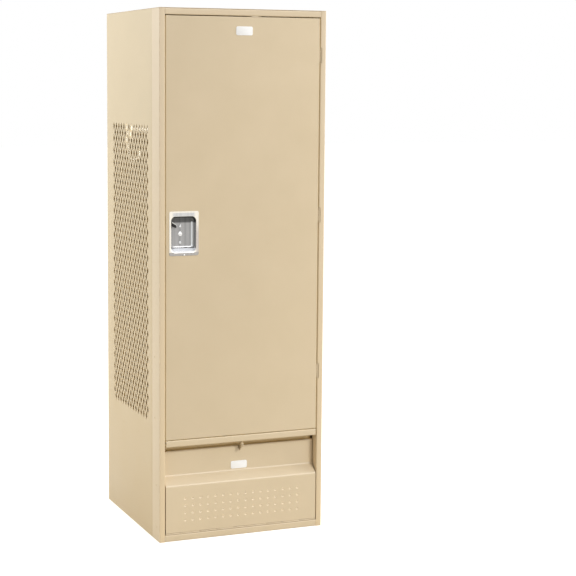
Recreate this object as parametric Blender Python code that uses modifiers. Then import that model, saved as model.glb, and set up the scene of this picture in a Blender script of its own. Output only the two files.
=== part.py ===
"""Gear locker: a steel frame, sheet sides punched with diamonds, one hinged door with a recessed
lift handle, and a perforated drop-front over the boot compartment below it.

Units are metres, +Z is up, the front faces -Y, and the origin is the middle of the base.
"""

from math import pi, radians

import bmesh
import bpy
from mathutils import Matrix, Vector

# Overall size
width = 0.6096
depth = 0.6096
height = 1.8288

# Sheet steel, gaps and bends
frame_sheet = 0.0015
side_sheet = 0.0015
door_sheet = 0.0019
panel_sheet = 0.0012
top_sheet = 0.0015
seat_gap = 0.0003
bend_radius = 0.002
bend_steps = 2
overrun = 0.003
edge_radius = 0.0006

# Front frame
post_face = 0.0198
jamb_depth = 0.04
post_side_depth = 0.08
top_rail_height = 0.0215
bottom_rail_height = 0.0235
cross_rail_top = 0.355
cross_rail_height = 0.0245
cross_rail_end_gap = 0.0045
rail_lip = 0.016

# Side panels and the diamonds punched through them
lap_depth = 0.02
joggle_run = 0.003
seam_gap = 0.001
back_flange = 0.025
pattern_from_front = 0.1205
pattern_below_shelf = 0.0392
pattern_depth = 0.411
pattern_height = 1.0383
diamond_gap_along = 0.0218
diamond_gap_up = 0.0108
diamond_columns = 7
diamond_rows = 12

# Inner panels and the shelf
floor_lip = 0.0185
compartment_lip = 0.018
shelf_below_top = 0.3508
shelf_lip = 0.02
back_foot = 0.018

# Door
door_gap = 0.003
door_gap_below = 0.0022
door_depth = 0.0254

# Cup handle in the door
cup_sheet = 0.0008
cup_left_inset = 0.0123
cup_width = 0.1056
cup_height = 0.1545
cup_below_door_middle = 0.0113
cup_corner = 0.006
recess_left_margin = 0.007
recess_right_margin = 0.011
recess_bottom_margin = 0.011
recess_top_margin = 0.0155
recess_corner = 0.015
recess_depth = 0.0185
recess_draft = 0.0035
recess_slope = 0.02
recess_lip = 0.0012
recess_steps = 4
lock_cover_radius = 0.007
lock_cover_thickness = 0.0012
lock_cover_left = 0.0058
lock_cover_drop = 0.0014

# Door stiffener
stiffener_offset = 0.06
stiffener_crown = 0.05
stiffener_foot = 0.014
stiffener_depth = 0.019

# Lock bar, its guides, its lift and the hooks that it drops on
latch_lift = 0.012
bar_thickness = 0.003
bar_depth = 0.014
bar_side_clearance = 0.0031
bar_front_clearance = 0.003
bar_overhang = 0.05
guide_height = 0.02
guide_offset = 0.055
hook_from_door_end = 0.15
hook_below_cup = 0.06
hook_thickness = 0.003
hook_length = 0.0125
hook_nose = 0.009
hook_reach = 0.0155
hook_bar_clearance = 0.0005
hook_running_gap = 0.001
bar_strip = 0.0035
lift_pad_width = 0.014
lift_pad_height = 0.031
lift_pad_thickness = 0.0025
lift_pad_lip = 0.006
lift_pad_drop = 0.0105
lift_pad_setback = 0.0115
lift_tongue_height = 0.013
lift_tongue_depth = 0.0035
lift_slot_clearance = 0.001

# Door hinges
lower_hinge_rise = 0.2074
upper_hinge_drop = 0.1272
hinge_length = 0.0508
hinge_knuckle_radius = 0.0027
hinge_pin_radius = 0.0013
hinge_bore_clearance = 0.0003
hinge_leaf_thickness = 0.0012
hinge_leaf_width = 0.021
hinge_axis_setback = 0.0032
hinge_axis_from_door = 0.005
hinge_notch_clearance = 0.0006
hinge_knuckles = 5
hinge_sides = 12

# Door stop clip over the door's top
stop_width = 0.042
stop_middle = 0.04
stop_sheet = 0.0012
stop_drop = 0.014

# Drop-front
front_sheet = 0.0015
front_setback = 0.0004
front_bend = 0.0035
ledge_bottom = 0.195
ledge_top = 0.2245
recess_back = 0.034
front_top = 0.312
front_hem = 0.012
front_hem_drop = 0.009
gusset_depth = 0.02
hole_radius = 0.0036
hole_sides = 8
hole_columns = 16
hole_rows = 4
hole_pitch_across = 0.0282
hole_pitch_up = 0.0255
hole_lowest = 0.0715

# Piano hinge under the drop-front
piano_radius = 0.0025
piano_pin_radius = 0.0011
piano_leaf = 0.001
piano_leaf_width = 0.016
piano_knuckles = 9
piano_sides = 8
piano_panel_clearance = 0.001

# Padlock staple on the cross rail and eye on the drop-front
lock_plate = 0.003
staple_depth = 0.016
staple_drop = 0.0251
staple_setback = 0.003
shackle_hole = 0.0042
eye_side_gap = 0.0012
eye_foot = 0.017
lock_rim = 0.0032
staple_notch_room = 0.001
staple_notch_drop = 0.0115

# Bare number plates
plate_width = 0.0605
plate_height = 0.03
plate_thickness = 0.0008
plate_corner = 0.004
upper_plate_drop = 0.0475
lower_plate_lift = 0.0015

# Coat rod, its brackets and the side hooks
rod_below_shelf = 0.067
rod_from_front = 0.325
rod_radius = 0.0095
rod_wall = 0.0015
rod_sides = 16
bracket_width = 0.03
bracket_sheet = 0.002
bracket_drop = 0.03
bracket_rise = 0.028
socket_wall = 0.002
socket_length = 0.012
prong_from_front = 0.37
prong_strap_width = 0.016
prong_strap_sheet = 0.002
prong_strap_rise = 0.031
prong_strap_drop = 0.073
prong_wire = 0.003
prong_wire_steps = 8
prong_bowl_drop = 0.107
prong_reach = 0.044
prong_tip_drop = 0.079
bowl_depth_share = 0.7
prong_ball = 0.0052
prong_bend = 0.008

# Places that follow from the sizes above
front_y = -depth / 2
back_y = depth / 2
opening_half = width / 2 - post_face
under_top = height - top_sheet - seat_gap
jamb_back = front_y + jamb_depth
wall_inside = width / 2 - side_sheet
seat_half = wall_inside - seat_gap
inner_half = seat_half - side_sheet - seat_gap
back_outside = back_y - side_sheet - seat_gap
back_inside = back_outside - panel_sheet
inner_front = jamb_back + seat_gap
inner_back = back_inside - seat_gap
shelf_top = height - shelf_below_top
rod_height = shelf_top - rod_below_shelf
pattern_front = front_y + pattern_from_front
pattern_bottom = shelf_top - pattern_below_shelf - pattern_height
diamond_pitch_along = (pattern_depth + diamond_gap_along) / diamond_columns
diamond_pitch_up = (pattern_height + diamond_gap_up) / diamond_rows
diamond_width = diamond_pitch_along - diamond_gap_along
diamond_height = diamond_pitch_up - diamond_gap_up

door_setback = plate_thickness + 2 * seat_gap
door_front = front_y + door_setback
door_back = door_front + door_depth
door_skin_back = door_front + door_sheet
door_half = opening_half - door_gap
door_bottom = cross_rail_top + door_gap_below
door_top = under_top - top_rail_height - door_gap
hinge_axis = Vector((door_half + hinge_axis_from_door, front_y + hinge_axis_setback, 0))
lower_hinge_height = door_bottom + lower_hinge_rise
upper_hinge_height = door_top - upper_hinge_drop
hinge_heights = (lower_hinge_height, (lower_hinge_height + upper_hinge_height) / 2, upper_hinge_height)
upper_plate_middle = door_top - upper_plate_drop

cup_left = -door_half + cup_left_inset
cup_right = cup_left + cup_width
cup_middle_height = (door_bottom + door_top) / 2 - cup_below_door_middle
cup_bottom = cup_middle_height - cup_height / 2
cup_top = cup_middle_height + cup_height / 2
recess_left = cup_left + recess_left_margin
recess_right = cup_right - recess_right_margin
recess_bottom = cup_bottom + recess_bottom_margin
recess_top = cup_top - recess_top_margin
cup_front = door_front - seat_gap - cup_sheet

bar_left = -door_half + door_sheet + bar_side_clearance
bar_right = bar_left + bar_thickness
bar_front = door_skin_back + bar_front_clearance
bar_back = bar_front + bar_depth
hook_front = bar_front + bar_strip + hook_running_gap
hook_heights = (
    door_bottom + hook_from_door_end,
    cup_bottom - hook_below_cup,
    door_top - hook_from_door_end,
)

front_skin = front_y + front_setback
front_skin_back = front_skin + front_sheet
recess_plane = front_y + recess_back
piano_axis = Vector((
    0,
    front_skin_back + seat_gap + piano_leaf / 2,
    bottom_rail_height + seat_gap + piano_radius,
))
front_low = piano_axis.z + piano_radius + piano_panel_clearance
front_half = opening_half - door_gap
cross_rail_bottom = cross_rail_top - cross_rail_height


def clear_scene():
    """Remove what the start file holds."""
    for old in list(bpy.data.objects):
        bpy.data.objects.remove(old, do_unlink=True)


def new_collection(name):
    """A collection linked to the scene."""
    collection = bpy.data.collections.new(name)
    bpy.context.scene.collection.children.link(collection)
    return collection


def principled(name, colour, roughness, metallic):
    """A plain Principled material."""
    material = bpy.data.materials.new(name)
    material.use_nodes = True
    shader = material.node_tree.nodes["Principled BSDF"]
    shader.inputs["Base Color"].default_value = (*colour, 1)
    shader.inputs["Roughness"].default_value = roughness
    shader.inputs["Metallic"].default_value = metallic
    material.diffuse_color = (*colour, 1)
    return material


clear_scene()
parts = new_collection("Gear locker")
cutters = new_collection("Locker cutters")
tan_paint = principled("tan_paint", (0.62, 0.53, 0.38), 0.45, 0)
stainless = principled("stainless", (0.55, 0.54, 0.52), 0.3, 1)
zinc = principled("zinc", (0.7, 0.7, 0.68), 0.35, 1)
dark_steel = principled("dark_steel", (0.1, 0.09, 0.08), 0.5, 0.6)
white_plate = principled("white_plate", (0.85, 0.85, 0.83), 0.4, 0)


def axis_empty(name, place):
    """An empty on a joint's axis, which carries the pieces that move about it."""
    empty = bpy.data.objects.new(name, None)
    empty.location = place
    parts.objects.link(empty)
    return empty


def carry(obj, carrier):
    """Parent an object to a carrier and keep its place."""
    if carrier is not None:
        obj.parent = carrier
        place = Vector(carrier.location)
        if carrier.parent is not None:
            place += carrier.parent.location
        obj.matrix_parent_inverse = Matrix.Translation(-place)


def finish(obj, name, material, carrier=None):
    """Name a piece, paint it and put it in the locker's collection."""
    obj.name = name
    obj.data.name = name
    obj.data.materials.clear()
    obj.data.materials.append(material)
    for collection in list(obj.users_collection):
        collection.objects.unlink(obj)
    parts.objects.link(obj)
    carry(obj, carrier)
    return obj


def as_cutter(obj, name):
    """Put a tool body with the cutters, out of the build."""
    obj.name = name
    obj.display_type = "WIRE"
    obj.hide_render = True
    for collection in list(obj.users_collection):
        collection.objects.unlink(obj)
    cutters.objects.link(obj)
    return obj


def combine(piece, tool, operation="DIFFERENCE"):
    """Cut a tool out of a piece, or join it on."""
    tool.parent = piece.parent
    tool.matrix_parent_inverse = piece.matrix_parent_inverse
    boolean = piece.modifiers.new(tool.name, "BOOLEAN")
    boolean.operation = operation
    boolean.solver = "EXACT"
    boolean.object = tool


def repeat(obj, count, offset):
    """Copy a tool body a number of times along an offset in its own axes."""
    array = obj.modifiers.new("Repeat", "ARRAY")
    array.count = count
    array.use_relative_offset = False
    array.use_constant_offset = True
    array.constant_offset_displace = offset
    array.use_merge_vertices = False


def box(low, high):
    """A box between two opposite corners."""
    low = Vector(low)
    high = Vector(high)
    bpy.ops.mesh.primitive_cube_add(size=1, location=(low + high) / 2)
    obj = bpy.context.object
    obj.scale = high - low
    bpy.ops.object.transform_apply(location=False, rotation=False, scale=True)
    return obj


def round_bar(middle, radius, length, along, sides):
    """A cylinder whose axis lies along X, Y or Z."""
    turns = {"X": (0, pi / 2, 0), "Y": (pi / 2, 0, 0), "Z": (0, 0, 0)}
    bpy.ops.mesh.primitive_cylinder_add(vertices=sides, radius=radius, depth=length, location=middle,
                                        rotation=turns[along])
    bpy.ops.object.transform_apply(location=False, rotation=True, scale=False)
    return bpy.context.object


def smooth(obj):
    """Shade round faces smooth and keep the edges sharp."""
    obj.data.shade_smooth()
    obj.data.set_sharp_from_angle(angle=radians(35))


def bevel_edges(obj, radius, steps=1):
    """Ease the sharp edges of a solid."""
    bevel = obj.modifiers.new("Eased edges", "BEVEL")
    bevel.width = radius
    bevel.segments = steps
    bevel.limit_method = "ANGLE"
    bevel.angle_limit = radians(30)


plane_turns = {"X": (pi / 2, 0, pi / 2), "Y": (pi / 2, 0, 0), "Z": (0, 0, 0)}


def curve_object(outlines, half_thickness, normal, middle, closed, steps_filled):
    """A 2D curve of straight splines, extruded evenly to both sides of its plane.

    An outline's points are (y, z) for a plane whose normal is X, (x, z) for Y and (x, y) for Z.
    """
    curve = bpy.data.curves.new("outline", "CURVE")
    curve.dimensions = "2D"
    curve.fill_mode = steps_filled
    curve.extrude = half_thickness
    for outline in outlines:
        spline = curve.splines.new("POLY")
        spline.points.add(len(outline) - 1)
        for point, place in zip(spline.points, outline):
            point.co = (place[0], place[1], 0, 1)
        spline.use_cyclic_u = closed
        spline.use_smooth = False
    obj = bpy.data.objects.new("outline", curve)
    obj.rotation_euler = plane_turns[normal]
    shift = {"X": (middle, 0, 0), "Y": (0, middle, 0), "Z": (0, 0, middle)}
    obj.location = shift[normal]
    parts.objects.link(obj)
    return obj


def curve_to_mesh(source):
    """Turn a curve object into a welded mesh object in the same place."""
    bpy.context.view_layer.update()
    graph = bpy.context.evaluated_depsgraph_get()
    mesh = bpy.data.meshes.new_from_object(source.evaluated_get(graph))
    shape = bmesh.new()
    shape.from_mesh(mesh)
    bmesh.ops.remove_doubles(shape, verts=shape.verts, dist=seat_gap / 10)
    if not any(edge.is_boundary for edge in shape.edges):
        bmesh.ops.recalc_face_normals(shape, faces=shape.faces)
    shape.to_mesh(mesh)
    shape.free()
    obj = bpy.data.objects.new("piece", mesh)
    obj.matrix_world = source.matrix_world.copy()
    parts.objects.link(obj)
    bpy.data.objects.remove(source, do_unlink=True)
    return obj


def flat_plate(outlines, thickness, normal, middle):
    """A flat plate from its outline and the outlines of its holes."""
    return curve_to_mesh(curve_object(outlines, thickness / 2, normal, middle, True, "BOTH"))


def folded_sheet(outline, run, thickness, normal, middle, metal_side, radius=bend_radius):
    """Sheet steel folded along an outline and run straight across it.

    metal_side is 1 where the metal lies left of the outline's direction of travel, and -1 on its right.
    """
    obj = curve_to_mesh(curve_object([outline], run / 2, normal, middle, False, "NONE"))
    mesh = obj.data
    start = Vector((*outline[0], 0))
    travel = Vector((*outline[1], 0)) - start
    left = Vector((-travel.y, travel.x, 0))
    first = min(mesh.polygons, key=lambda face: (face.center - (start + travel / 2)).length)
    if first.normal.dot(left) * metal_side > 0:
        shape = bmesh.new()
        shape.from_mesh(mesh)
        bmesh.ops.reverse_faces(shape, faces=shape.faces)
        shape.to_mesh(mesh)
        shape.free()
    bevel_edges(obj, radius, bend_steps)
    thicken(obj, thickness)
    return obj


def thicken(obj, thickness):
    """Give an open surface its sheet thickness, behind its faces."""
    solidify = obj.modifiers.new("Sheet", "SOLIDIFY")
    solidify.thickness = thickness
    solidify.offset = -1
    solidify.use_even_offset = True


def open_box(low, high, open_side, thickness, radius=bend_radius):
    """A sheet pan: a box that is open on one side, with its flanges folded back."""
    obj = box(low, high)
    shape = bmesh.new()
    shape.from_mesh(obj.data)
    shape.normal_update()
    lids = [face for face in shape.faces if face.normal.dot(Vector(open_side)) > 0.9]
    bmesh.ops.delete(shape, geom=lids, context="FACES")
    shape.to_mesh(obj.data)
    shape.free()
    bevel_edges(obj, radius, bend_steps)
    thicken(obj, thickness)
    return obj


def rounded_rectangle(left, right, bottom, top, radius, steps):
    """Points round a rectangle with arcs for corners, anticlockwise from the lower right."""
    corners = (
        (right - radius, bottom + radius, -90),
        (right - radius, top - radius, 0),
        (left + radius, top - radius, 90),
        (left + radius, bottom + radius, 180),
    )
    points = []
    for across, up, start in corners:
        for step in range(steps + 1):
            angle = radians(start + 90 * step / steps)
            arm = Vector((radius, 0, 0))
            arm.rotate(Matrix.Rotation(angle, 3, "Z"))
            points.append((across + arm.x, up + arm.y))
    return points


def circle(across, up, radius, sides):
    """Points round a circle."""
    points = []
    for side in range(sides):
        arm = Vector((radius, 0, 0))
        arm.rotate(Matrix.Rotation(2 * pi * side / sides, 3, "Z"))
        points.append((across + arm.x, up + arm.y))
    return points


def mirrored(points, side):
    """The points of a plan for the right-hand side, or turned over for the left."""
    return [(across * side, back) for across, back in points]


# Front frame: two channel posts, three rails
def front_post(name, side):
    """A post folded as a channel: the jamb, the narrow face and the deep side leg."""
    plan = mirrored([
        (opening_half, jamb_back),
        (opening_half, front_y),
        (width / 2, front_y),
        (width / 2, front_y + post_side_depth),
    ], side)
    post = folded_sheet(plan, under_top, frame_sheet, "Z", under_top / 2, side)
    return finish(post, name, tan_paint)


def cross_channel(name, bottom, top, half_length, upper_depth, lower_depth):
    """A rail folded as a channel with an upper and a lower flange."""
    section = [
        (front_y + upper_depth, top),
        (front_y, top),
        (front_y, bottom),
        (front_y + lower_depth, bottom),
    ]
    rail = folded_sheet(section, 2 * half_length, frame_sheet, "X", 0, 1)
    return finish(rail, name, tan_paint)


def front_frame():
    """Posts and rails round the door and the drop-front."""
    between = opening_half - seat_gap
    left = front_post("left_front_post", -1)
    right = front_post("right_front_post", 1)
    cross_channel("top_rail", under_top - top_rail_height, under_top, between, jamb_depth, rail_lip)
    cross_channel("cross_rail", cross_rail_bottom, cross_rail_top, opening_half - cross_rail_end_gap,
                  jamb_depth, rail_lip)
    cross_channel("bottom_rail", 0, bottom_rail_height, between, jamb_depth, rail_lip)
    return left, right


# Sides, back, top and floors
def side_panel(name, side):
    """A side sheet: tucked behind the post, joggled out flush, folded round the back corner."""
    seam = front_y + post_side_depth + seam_gap
    tucked = width / 2 - frame_sheet - seat_gap
    plan = mirrored([
        (tucked, seam - lap_depth),
        (tucked, seam),
        (width / 2, seam + joggle_run),
        (width / 2, back_y),
        (width / 2 - back_flange, back_y),
    ], side)
    panel = folded_sheet(plan, under_top, side_sheet, "Z", under_top / 2, side)
    finish(panel, name, tan_paint)

    # Punched diamonds: full columns, and shorter columns set half a pitch between them
    for set_name, shifted in (("outer", 0), ("between", 1)):
        across = pattern_front + diamond_width / 2 + shifted * diamond_pitch_along / 2
        up = pattern_bottom + diamond_height / 2 + shifted * diamond_pitch_up / 2
        outline = [
            (across - diamond_width / 2, up),
            (across, up - diamond_height / 2),
            (across + diamond_width / 2, up),
            (across, up + diamond_height / 2),
        ]
        punch = flat_plate([outline], side_sheet + 2 * overrun, "X", side * (width - side_sheet) / 2)
        repeat(punch, diamond_columns - shifted, (diamond_pitch_along, 0, 0))
        repeat(punch, diamond_rows - shifted, (0, diamond_pitch_up, 0))
        combine(panel, as_cutter(punch, name + "_" + set_name + "_diamonds"))
    return panel


def shell_panels():
    """The back, the top, the two floors and the shelf."""
    back_section = [
        (back_outside - back_foot, 0),
        (back_outside, 0),
        (back_outside, under_top),
    ]
    back = folded_sheet(back_section, 2 * seat_half, panel_sheet, "X", 0, 1)
    finish(back, "back_panel", tan_paint)

    top = box((-width / 2, front_y, height - top_sheet), (width / 2, back_y, height))
    bevel_edges(top, edge_radius)
    finish(top, "top_panel", tan_paint)

    floor_back = back_outside - back_foot - seat_gap
    low_floor = open_box((-inner_half, inner_front, bottom_rail_height - floor_lip),
                         (inner_half, floor_back, bottom_rail_height), (0, 0, -1), panel_sheet)
    finish(low_floor, "floor_pan", tan_paint)

    high_floor = open_box((-inner_half, inner_front, cross_rail_top - compartment_lip),
                          (inner_half, inner_back, cross_rail_top), (0, 0, -1), panel_sheet)
    finish(high_floor, "compartment_floor", tan_paint)

    shelf = open_box((-inner_half, inner_front, shelf_top - shelf_lip),
                     (inner_half, inner_back, shelf_top), (0, 0, -1), panel_sheet)
    finish(shelf, "upper_shelf", tan_paint)


# Coat rod, its two brackets and the hook beside each
def coat_rod():
    """A tube across the hanging space, held in a socket at each end."""
    rod_y = front_y + rod_from_front
    plate_outer = seat_half
    plate_inner = plate_outer - bracket_sheet
    rod_half = plate_inner - seat_gap
    rod = round_bar((0, rod_y, rod_height), rod_radius, 2 * rod_half, "X", rod_sides)
    finish(rod, "coat_rod", zinc)
    bore = round_bar((0, rod_y, rod_height), rod_radius - rod_wall, 2 * (rod_half + overrun), "X", rod_sides)
    combine(rod, as_cutter(bore, "coat_rod_bore"))
    smooth(rod)

    for name, side in (("left", -1), ("right", 1)):
        outline = rounded_rectangle(rod_y - bracket_width / 2, rod_y + bracket_width / 2,
                                    rod_height - bracket_drop, rod_height + bracket_rise,
                                    bend_radius, bend_steps)
        plate = flat_plate([outline], bracket_sheet, "X", side * (plate_outer + plate_inner) / 2)
        finish(plate, name + "_rod_bracket", zinc)
        socket_radius = rod_radius + seat_gap + socket_wall
        socket_middle = side * (plate_inner - socket_length / 2 + bracket_sheet / 2)
        ring = round_bar((socket_middle, rod_y, rod_height), socket_radius,
                         socket_length + bracket_sheet, "X", rod_sides)
        combine(plate, as_cutter(ring, name + "_socket"), "UNION")
        mouth_middle = side * (plate_inner - socket_length + (socket_length - overrun) / 2)
        mouth = round_bar((mouth_middle, rod_y, rod_height), rod_radius + seat_gap,
                          socket_length + overrun, "X", rod_sides)
        combine(plate, as_cutter(mouth, name + "_socket_mouth"))


def wire(points, radius, resolution):
    """A bent wire through hand-placed points, with filled ends."""
    curve = bpy.data.curves.new("wire", "CURVE")
    curve.dimensions = "3D"
    curve.bevel_depth = radius
    curve.bevel_resolution = resolution
    curve.use_fill_caps = True
    spline = curve.splines.new("POLY")
    spline.points.add(len(points) - 1)
    for point, place in zip(spline.points, points):
        point.co = (*place, 1)
    obj = bpy.data.objects.new("wire", curve)
    parts.objects.link(obj)
    return curve_to_mesh(obj)


def side_hook(name, side):
    """A single-prong hook: a strap on the side sheet, a bent prong and a ball tip."""
    strap_outer = seat_half
    strap_inner = strap_outer - prong_strap_sheet
    hook_y = front_y + prong_from_front
    strap_top = rod_height + prong_strap_rise
    strap_bottom = rod_height - prong_strap_drop
    bowl_bottom = rod_height - prong_bowl_drop
    outline = rounded_rectangle(hook_y - prong_strap_width / 2, hook_y + prong_strap_width / 2,
                                strap_bottom, strap_top, bend_radius, bend_steps)
    strap = flat_plate([outline], prong_strap_sheet, "X", side * (strap_outer + strap_inner) / 2)
    finish(strap, name, zinc)

    # The prong leaves the strap's foot, drops in a half round and rises to its tip
    start_x = strap_inner - prong_wire
    turn = (prong_reach - prong_wire) / 2
    bowl = bowl_bottom + turn * bowl_depth_share
    prong_points = [
        (side * (strap_outer - prong_wire - seat_gap), hook_y, strap_bottom + 3 * prong_bend),
        (side * start_x, hook_y, strap_bottom + 2 * prong_bend),
    ]
    for step in range(prong_wire_steps + 1):
        angle = pi * step / prong_wire_steps
        arm = Vector((turn, 0, 0))
        arm.rotate(Matrix.Rotation(angle, 3, "Z"))
        centre_x = start_x - turn
        prong_points.append((side * (centre_x + arm.x), hook_y, bowl - arm.y * (bowl - bowl_bottom) / turn))
    tip = (side * (start_x - 2 * turn - prong_wire / 2), hook_y, rod_height - prong_tip_drop)
    prong_points.append(tip)
    prong = wire(prong_points, prong_wire, 1)
    combine(strap, as_cutter(prong, name + "_prong"), "UNION")
    bpy.ops.mesh.primitive_uv_sphere_add(segments=10, ring_count=6, radius=prong_ball, location=tip)
    combine(strap, as_cutter(bpy.context.object, name + "_ball"), "UNION")
    smooth(strap)


# Hinges
def hinge_leaf(name, material, carrier, plate, neck, axis_point, along, radius, bore_radius, start, pitch,
               knuckle, count, sides):
    """A leaf plate with necks and knuckles on an axis, bored for its pin.

    plate is a pair of corners. neck is the pair of corners of the first neck.
    """
    leaf = box(*plate)
    finish(leaf, name, material, carrier)
    unit = Vector((1, 0, 0)) if along == "X" else Vector((0, 0, 1))
    necks = box(*neck)
    repeat(necks, count, unit * pitch)
    combine(leaf, as_cutter(necks, name + "_necks"), "UNION")
    first = Vector(axis_point) + unit * (start + knuckle / 2)
    knuckles = round_bar(first, radius, knuckle, along, sides)
    repeat(knuckles, count, unit * pitch)
    combine(leaf, as_cutter(knuckles, name + "_knuckles"), "UNION")
    reach = pitch * (count - 1) + knuckle + 2 * overrun
    bore_middle = Vector(axis_point) + unit * (start - overrun + reach / 2)
    bore = round_bar(bore_middle, bore_radius, reach, along, sides)
    combine(leaf, as_cutter(bore, name + "_bore"))
    return leaf


def door_hinge(name, middle, door_axis):
    """A five-knuckle hinge: one leaf inside the post, one on the door's edge, and the pin."""
    step = hinge_length / hinge_knuckles
    knuckle = step - seat_gap
    low = middle - hinge_length / 2
    axis_x = hinge_axis.x
    axis_y = hinge_axis.y
    bore = hinge_pin_radius + hinge_bore_clearance
    leaf_back = axis_y + hinge_leaf_width
    clear = hinge_knuckle_radius + seat_gap

    post_leaf_left = opening_half + frame_sheet + seat_gap
    post_leaf_right = post_leaf_left + hinge_leaf_thickness
    hinge_leaf(
        name + "_post_leaf", tan_paint, None,
        ((post_leaf_left, axis_y + clear, low), (post_leaf_right, leaf_back, low + hinge_length - seat_gap)),
        ((post_leaf_left, axis_y, low), (post_leaf_right, axis_y + clear + overrun, low + knuckle)),
        (axis_x, axis_y, low), "Z", hinge_knuckle_radius, bore, 0, 2 * step, knuckle,
        (hinge_knuckles + 1) // 2, hinge_sides)

    door_leaf_left = door_half + seat_gap
    door_leaf_right = door_leaf_left + hinge_leaf_thickness
    half_leaf = hinge_leaf_thickness / 2
    hinge_leaf(
        name + "_door_leaf", tan_paint, door_axis,
        ((door_leaf_left, axis_y - half_leaf, low),
         (door_leaf_right, leaf_back, low + hinge_length - seat_gap)),
        ((door_leaf_left, axis_y - half_leaf, low + step),
         (axis_x, axis_y + half_leaf, low + step + knuckle)),
        (axis_x, axis_y, low), "Z", hinge_knuckle_radius, bore, step, 2 * step, knuckle,
        hinge_knuckles // 2, hinge_sides)

    pin = round_bar((axis_x, axis_y, middle), hinge_pin_radius, hinge_length, "Z", hinge_sides)
    finish(pin, name + "_pin", tan_paint)
    smooth(pin)


def notch_post_for_hinge(post, name, middle):
    """Open the post's front corner where a hinge's barrel turns."""
    reach = hinge_knuckle_radius + hinge_notch_clearance
    half = hinge_length / 2 + hinge_notch_clearance
    notch = box((opening_half - overrun, front_y - overrun, middle - half),
                (hinge_axis.x + reach, hinge_axis.y + reach, middle + half))
    combine(post, as_cutter(notch, name + "_notch"))


def piano_hinge(front_axis):
    """A full-width hinge on the bottom rail, its other leaf behind the drop-front."""
    step = 2 * front_half / piano_knuckles
    knuckle = step - seat_gap
    left = -front_half
    clear = piano_radius + seat_gap
    bore = piano_pin_radius + seat_gap
    axis_y = piano_axis.y
    axis_z = piano_axis.z
    leaf_low = bottom_rail_height + seat_gap
    hinge_leaf(
        "drop_hinge_rail_leaf", tan_paint, None,
        ((left, axis_y + clear, leaf_low),
         (front_half - seat_gap, axis_y + piano_leaf_width, leaf_low + piano_leaf)),
        ((left, axis_y, leaf_low), (left + knuckle, axis_y + clear + overrun, leaf_low + piano_leaf)),
        (left, axis_y, axis_z), "X", piano_radius, bore, 0, 2 * step, knuckle,
        (piano_knuckles + 1) // 2, piano_sides)
    leaf_front = axis_y - piano_leaf / 2
    leaf_back = axis_y + piano_leaf / 2
    hinge_leaf(
        "drop_hinge_front_leaf", tan_paint, front_axis,
        ((left, leaf_front, axis_z + clear), (front_half - seat_gap, leaf_back, axis_z + piano_leaf_width)),
        ((left + step, leaf_front, axis_z), (left + step + knuckle, leaf_back, axis_z + clear + overrun)),
        (left, axis_y, axis_z), "X", piano_radius, bore, step, 2 * step, knuckle,
        piano_knuckles // 2, piano_sides)
    pin = round_bar((0, axis_y, axis_z), piano_pin_radius, 2 * front_half - seat_gap, "X", piano_sides)
    finish(pin, "drop_hinge_pin", tan_paint)


# Door and what it carries
def door_panel(door_axis):
    """The door's pan, cut out for the cup handle and notched for the frame's hooks."""
    door = open_box((-door_half, door_front, door_bottom), (door_half, door_back, door_top),
                    (0, 1, 0), door_sheet)
    finish(door, "door_panel", tan_paint, door_axis)
    room = cup_sheet + seat_gap
    outline = rounded_rectangle(recess_left - room, recess_right + room, recess_bottom - room,
                                recess_top + room, recess_corner + room, recess_steps)
    opening = flat_plate([outline], 2 * recess_depth, "Y", door_front)
    combine(door, as_cutter(opening, "door_panel_handle_opening"))
    for place, name in zip(hook_heights, ("bottom", "middle", "top")):
        notch = box((-door_half - overrun, hook_front - hook_running_gap, place - hook_running_gap),
                    (-door_half + door_sheet + seat_gap, door_back + overrun,
                     place + hook_thickness + hook_nose + hook_running_gap))
        combine(door, as_cutter(notch, "door_panel_" + name + "_hook_notch"))
    return door


def door_stiffener(door_axis):
    """A full-height hat section behind the door's sheet."""
    foot_y = door_skin_back + seat_gap
    crown_y = door_skin_back + stiffener_depth
    half = stiffener_crown / 2
    plan = [
        (stiffener_offset - half - stiffener_foot, foot_y),
        (stiffener_offset - half, foot_y),
        (stiffener_offset - half, crown_y),
        (stiffener_offset + half, crown_y),
        (stiffener_offset + half, foot_y),
        (stiffener_offset + half + stiffener_foot, foot_y),
    ]
    low = door_bottom + door_sheet + seat_gap
    high = door_top - door_sheet - seat_gap
    stiffener = folded_sheet(plan, high - low, panel_sheet, "Z", (low + high) / 2, 1)
    finish(stiffener, "door_stiffener", tan_paint, door_axis)


def loft(rings):
    """An open surface through rings of the same number of points, closed by the last ring."""
    shape = bmesh.new()
    loops = [[shape.verts.new(point) for point in ring] for ring in rings]
    for outer, inner in zip(loops, loops[1:]):
        count = len(outer)
        for index in range(count):
            after = (index + 1) % count
            shape.faces.new((outer[index], outer[after], inner[after], inner[index]))
    shape.faces.new(loops[-1])
    shape.normal_update()
    mesh = bpy.data.meshes.new("loft")
    shape.to_mesh(mesh)
    shape.free()
    obj = bpy.data.objects.new("loft", mesh)
    parts.objects.link(obj)
    return obj


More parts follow.
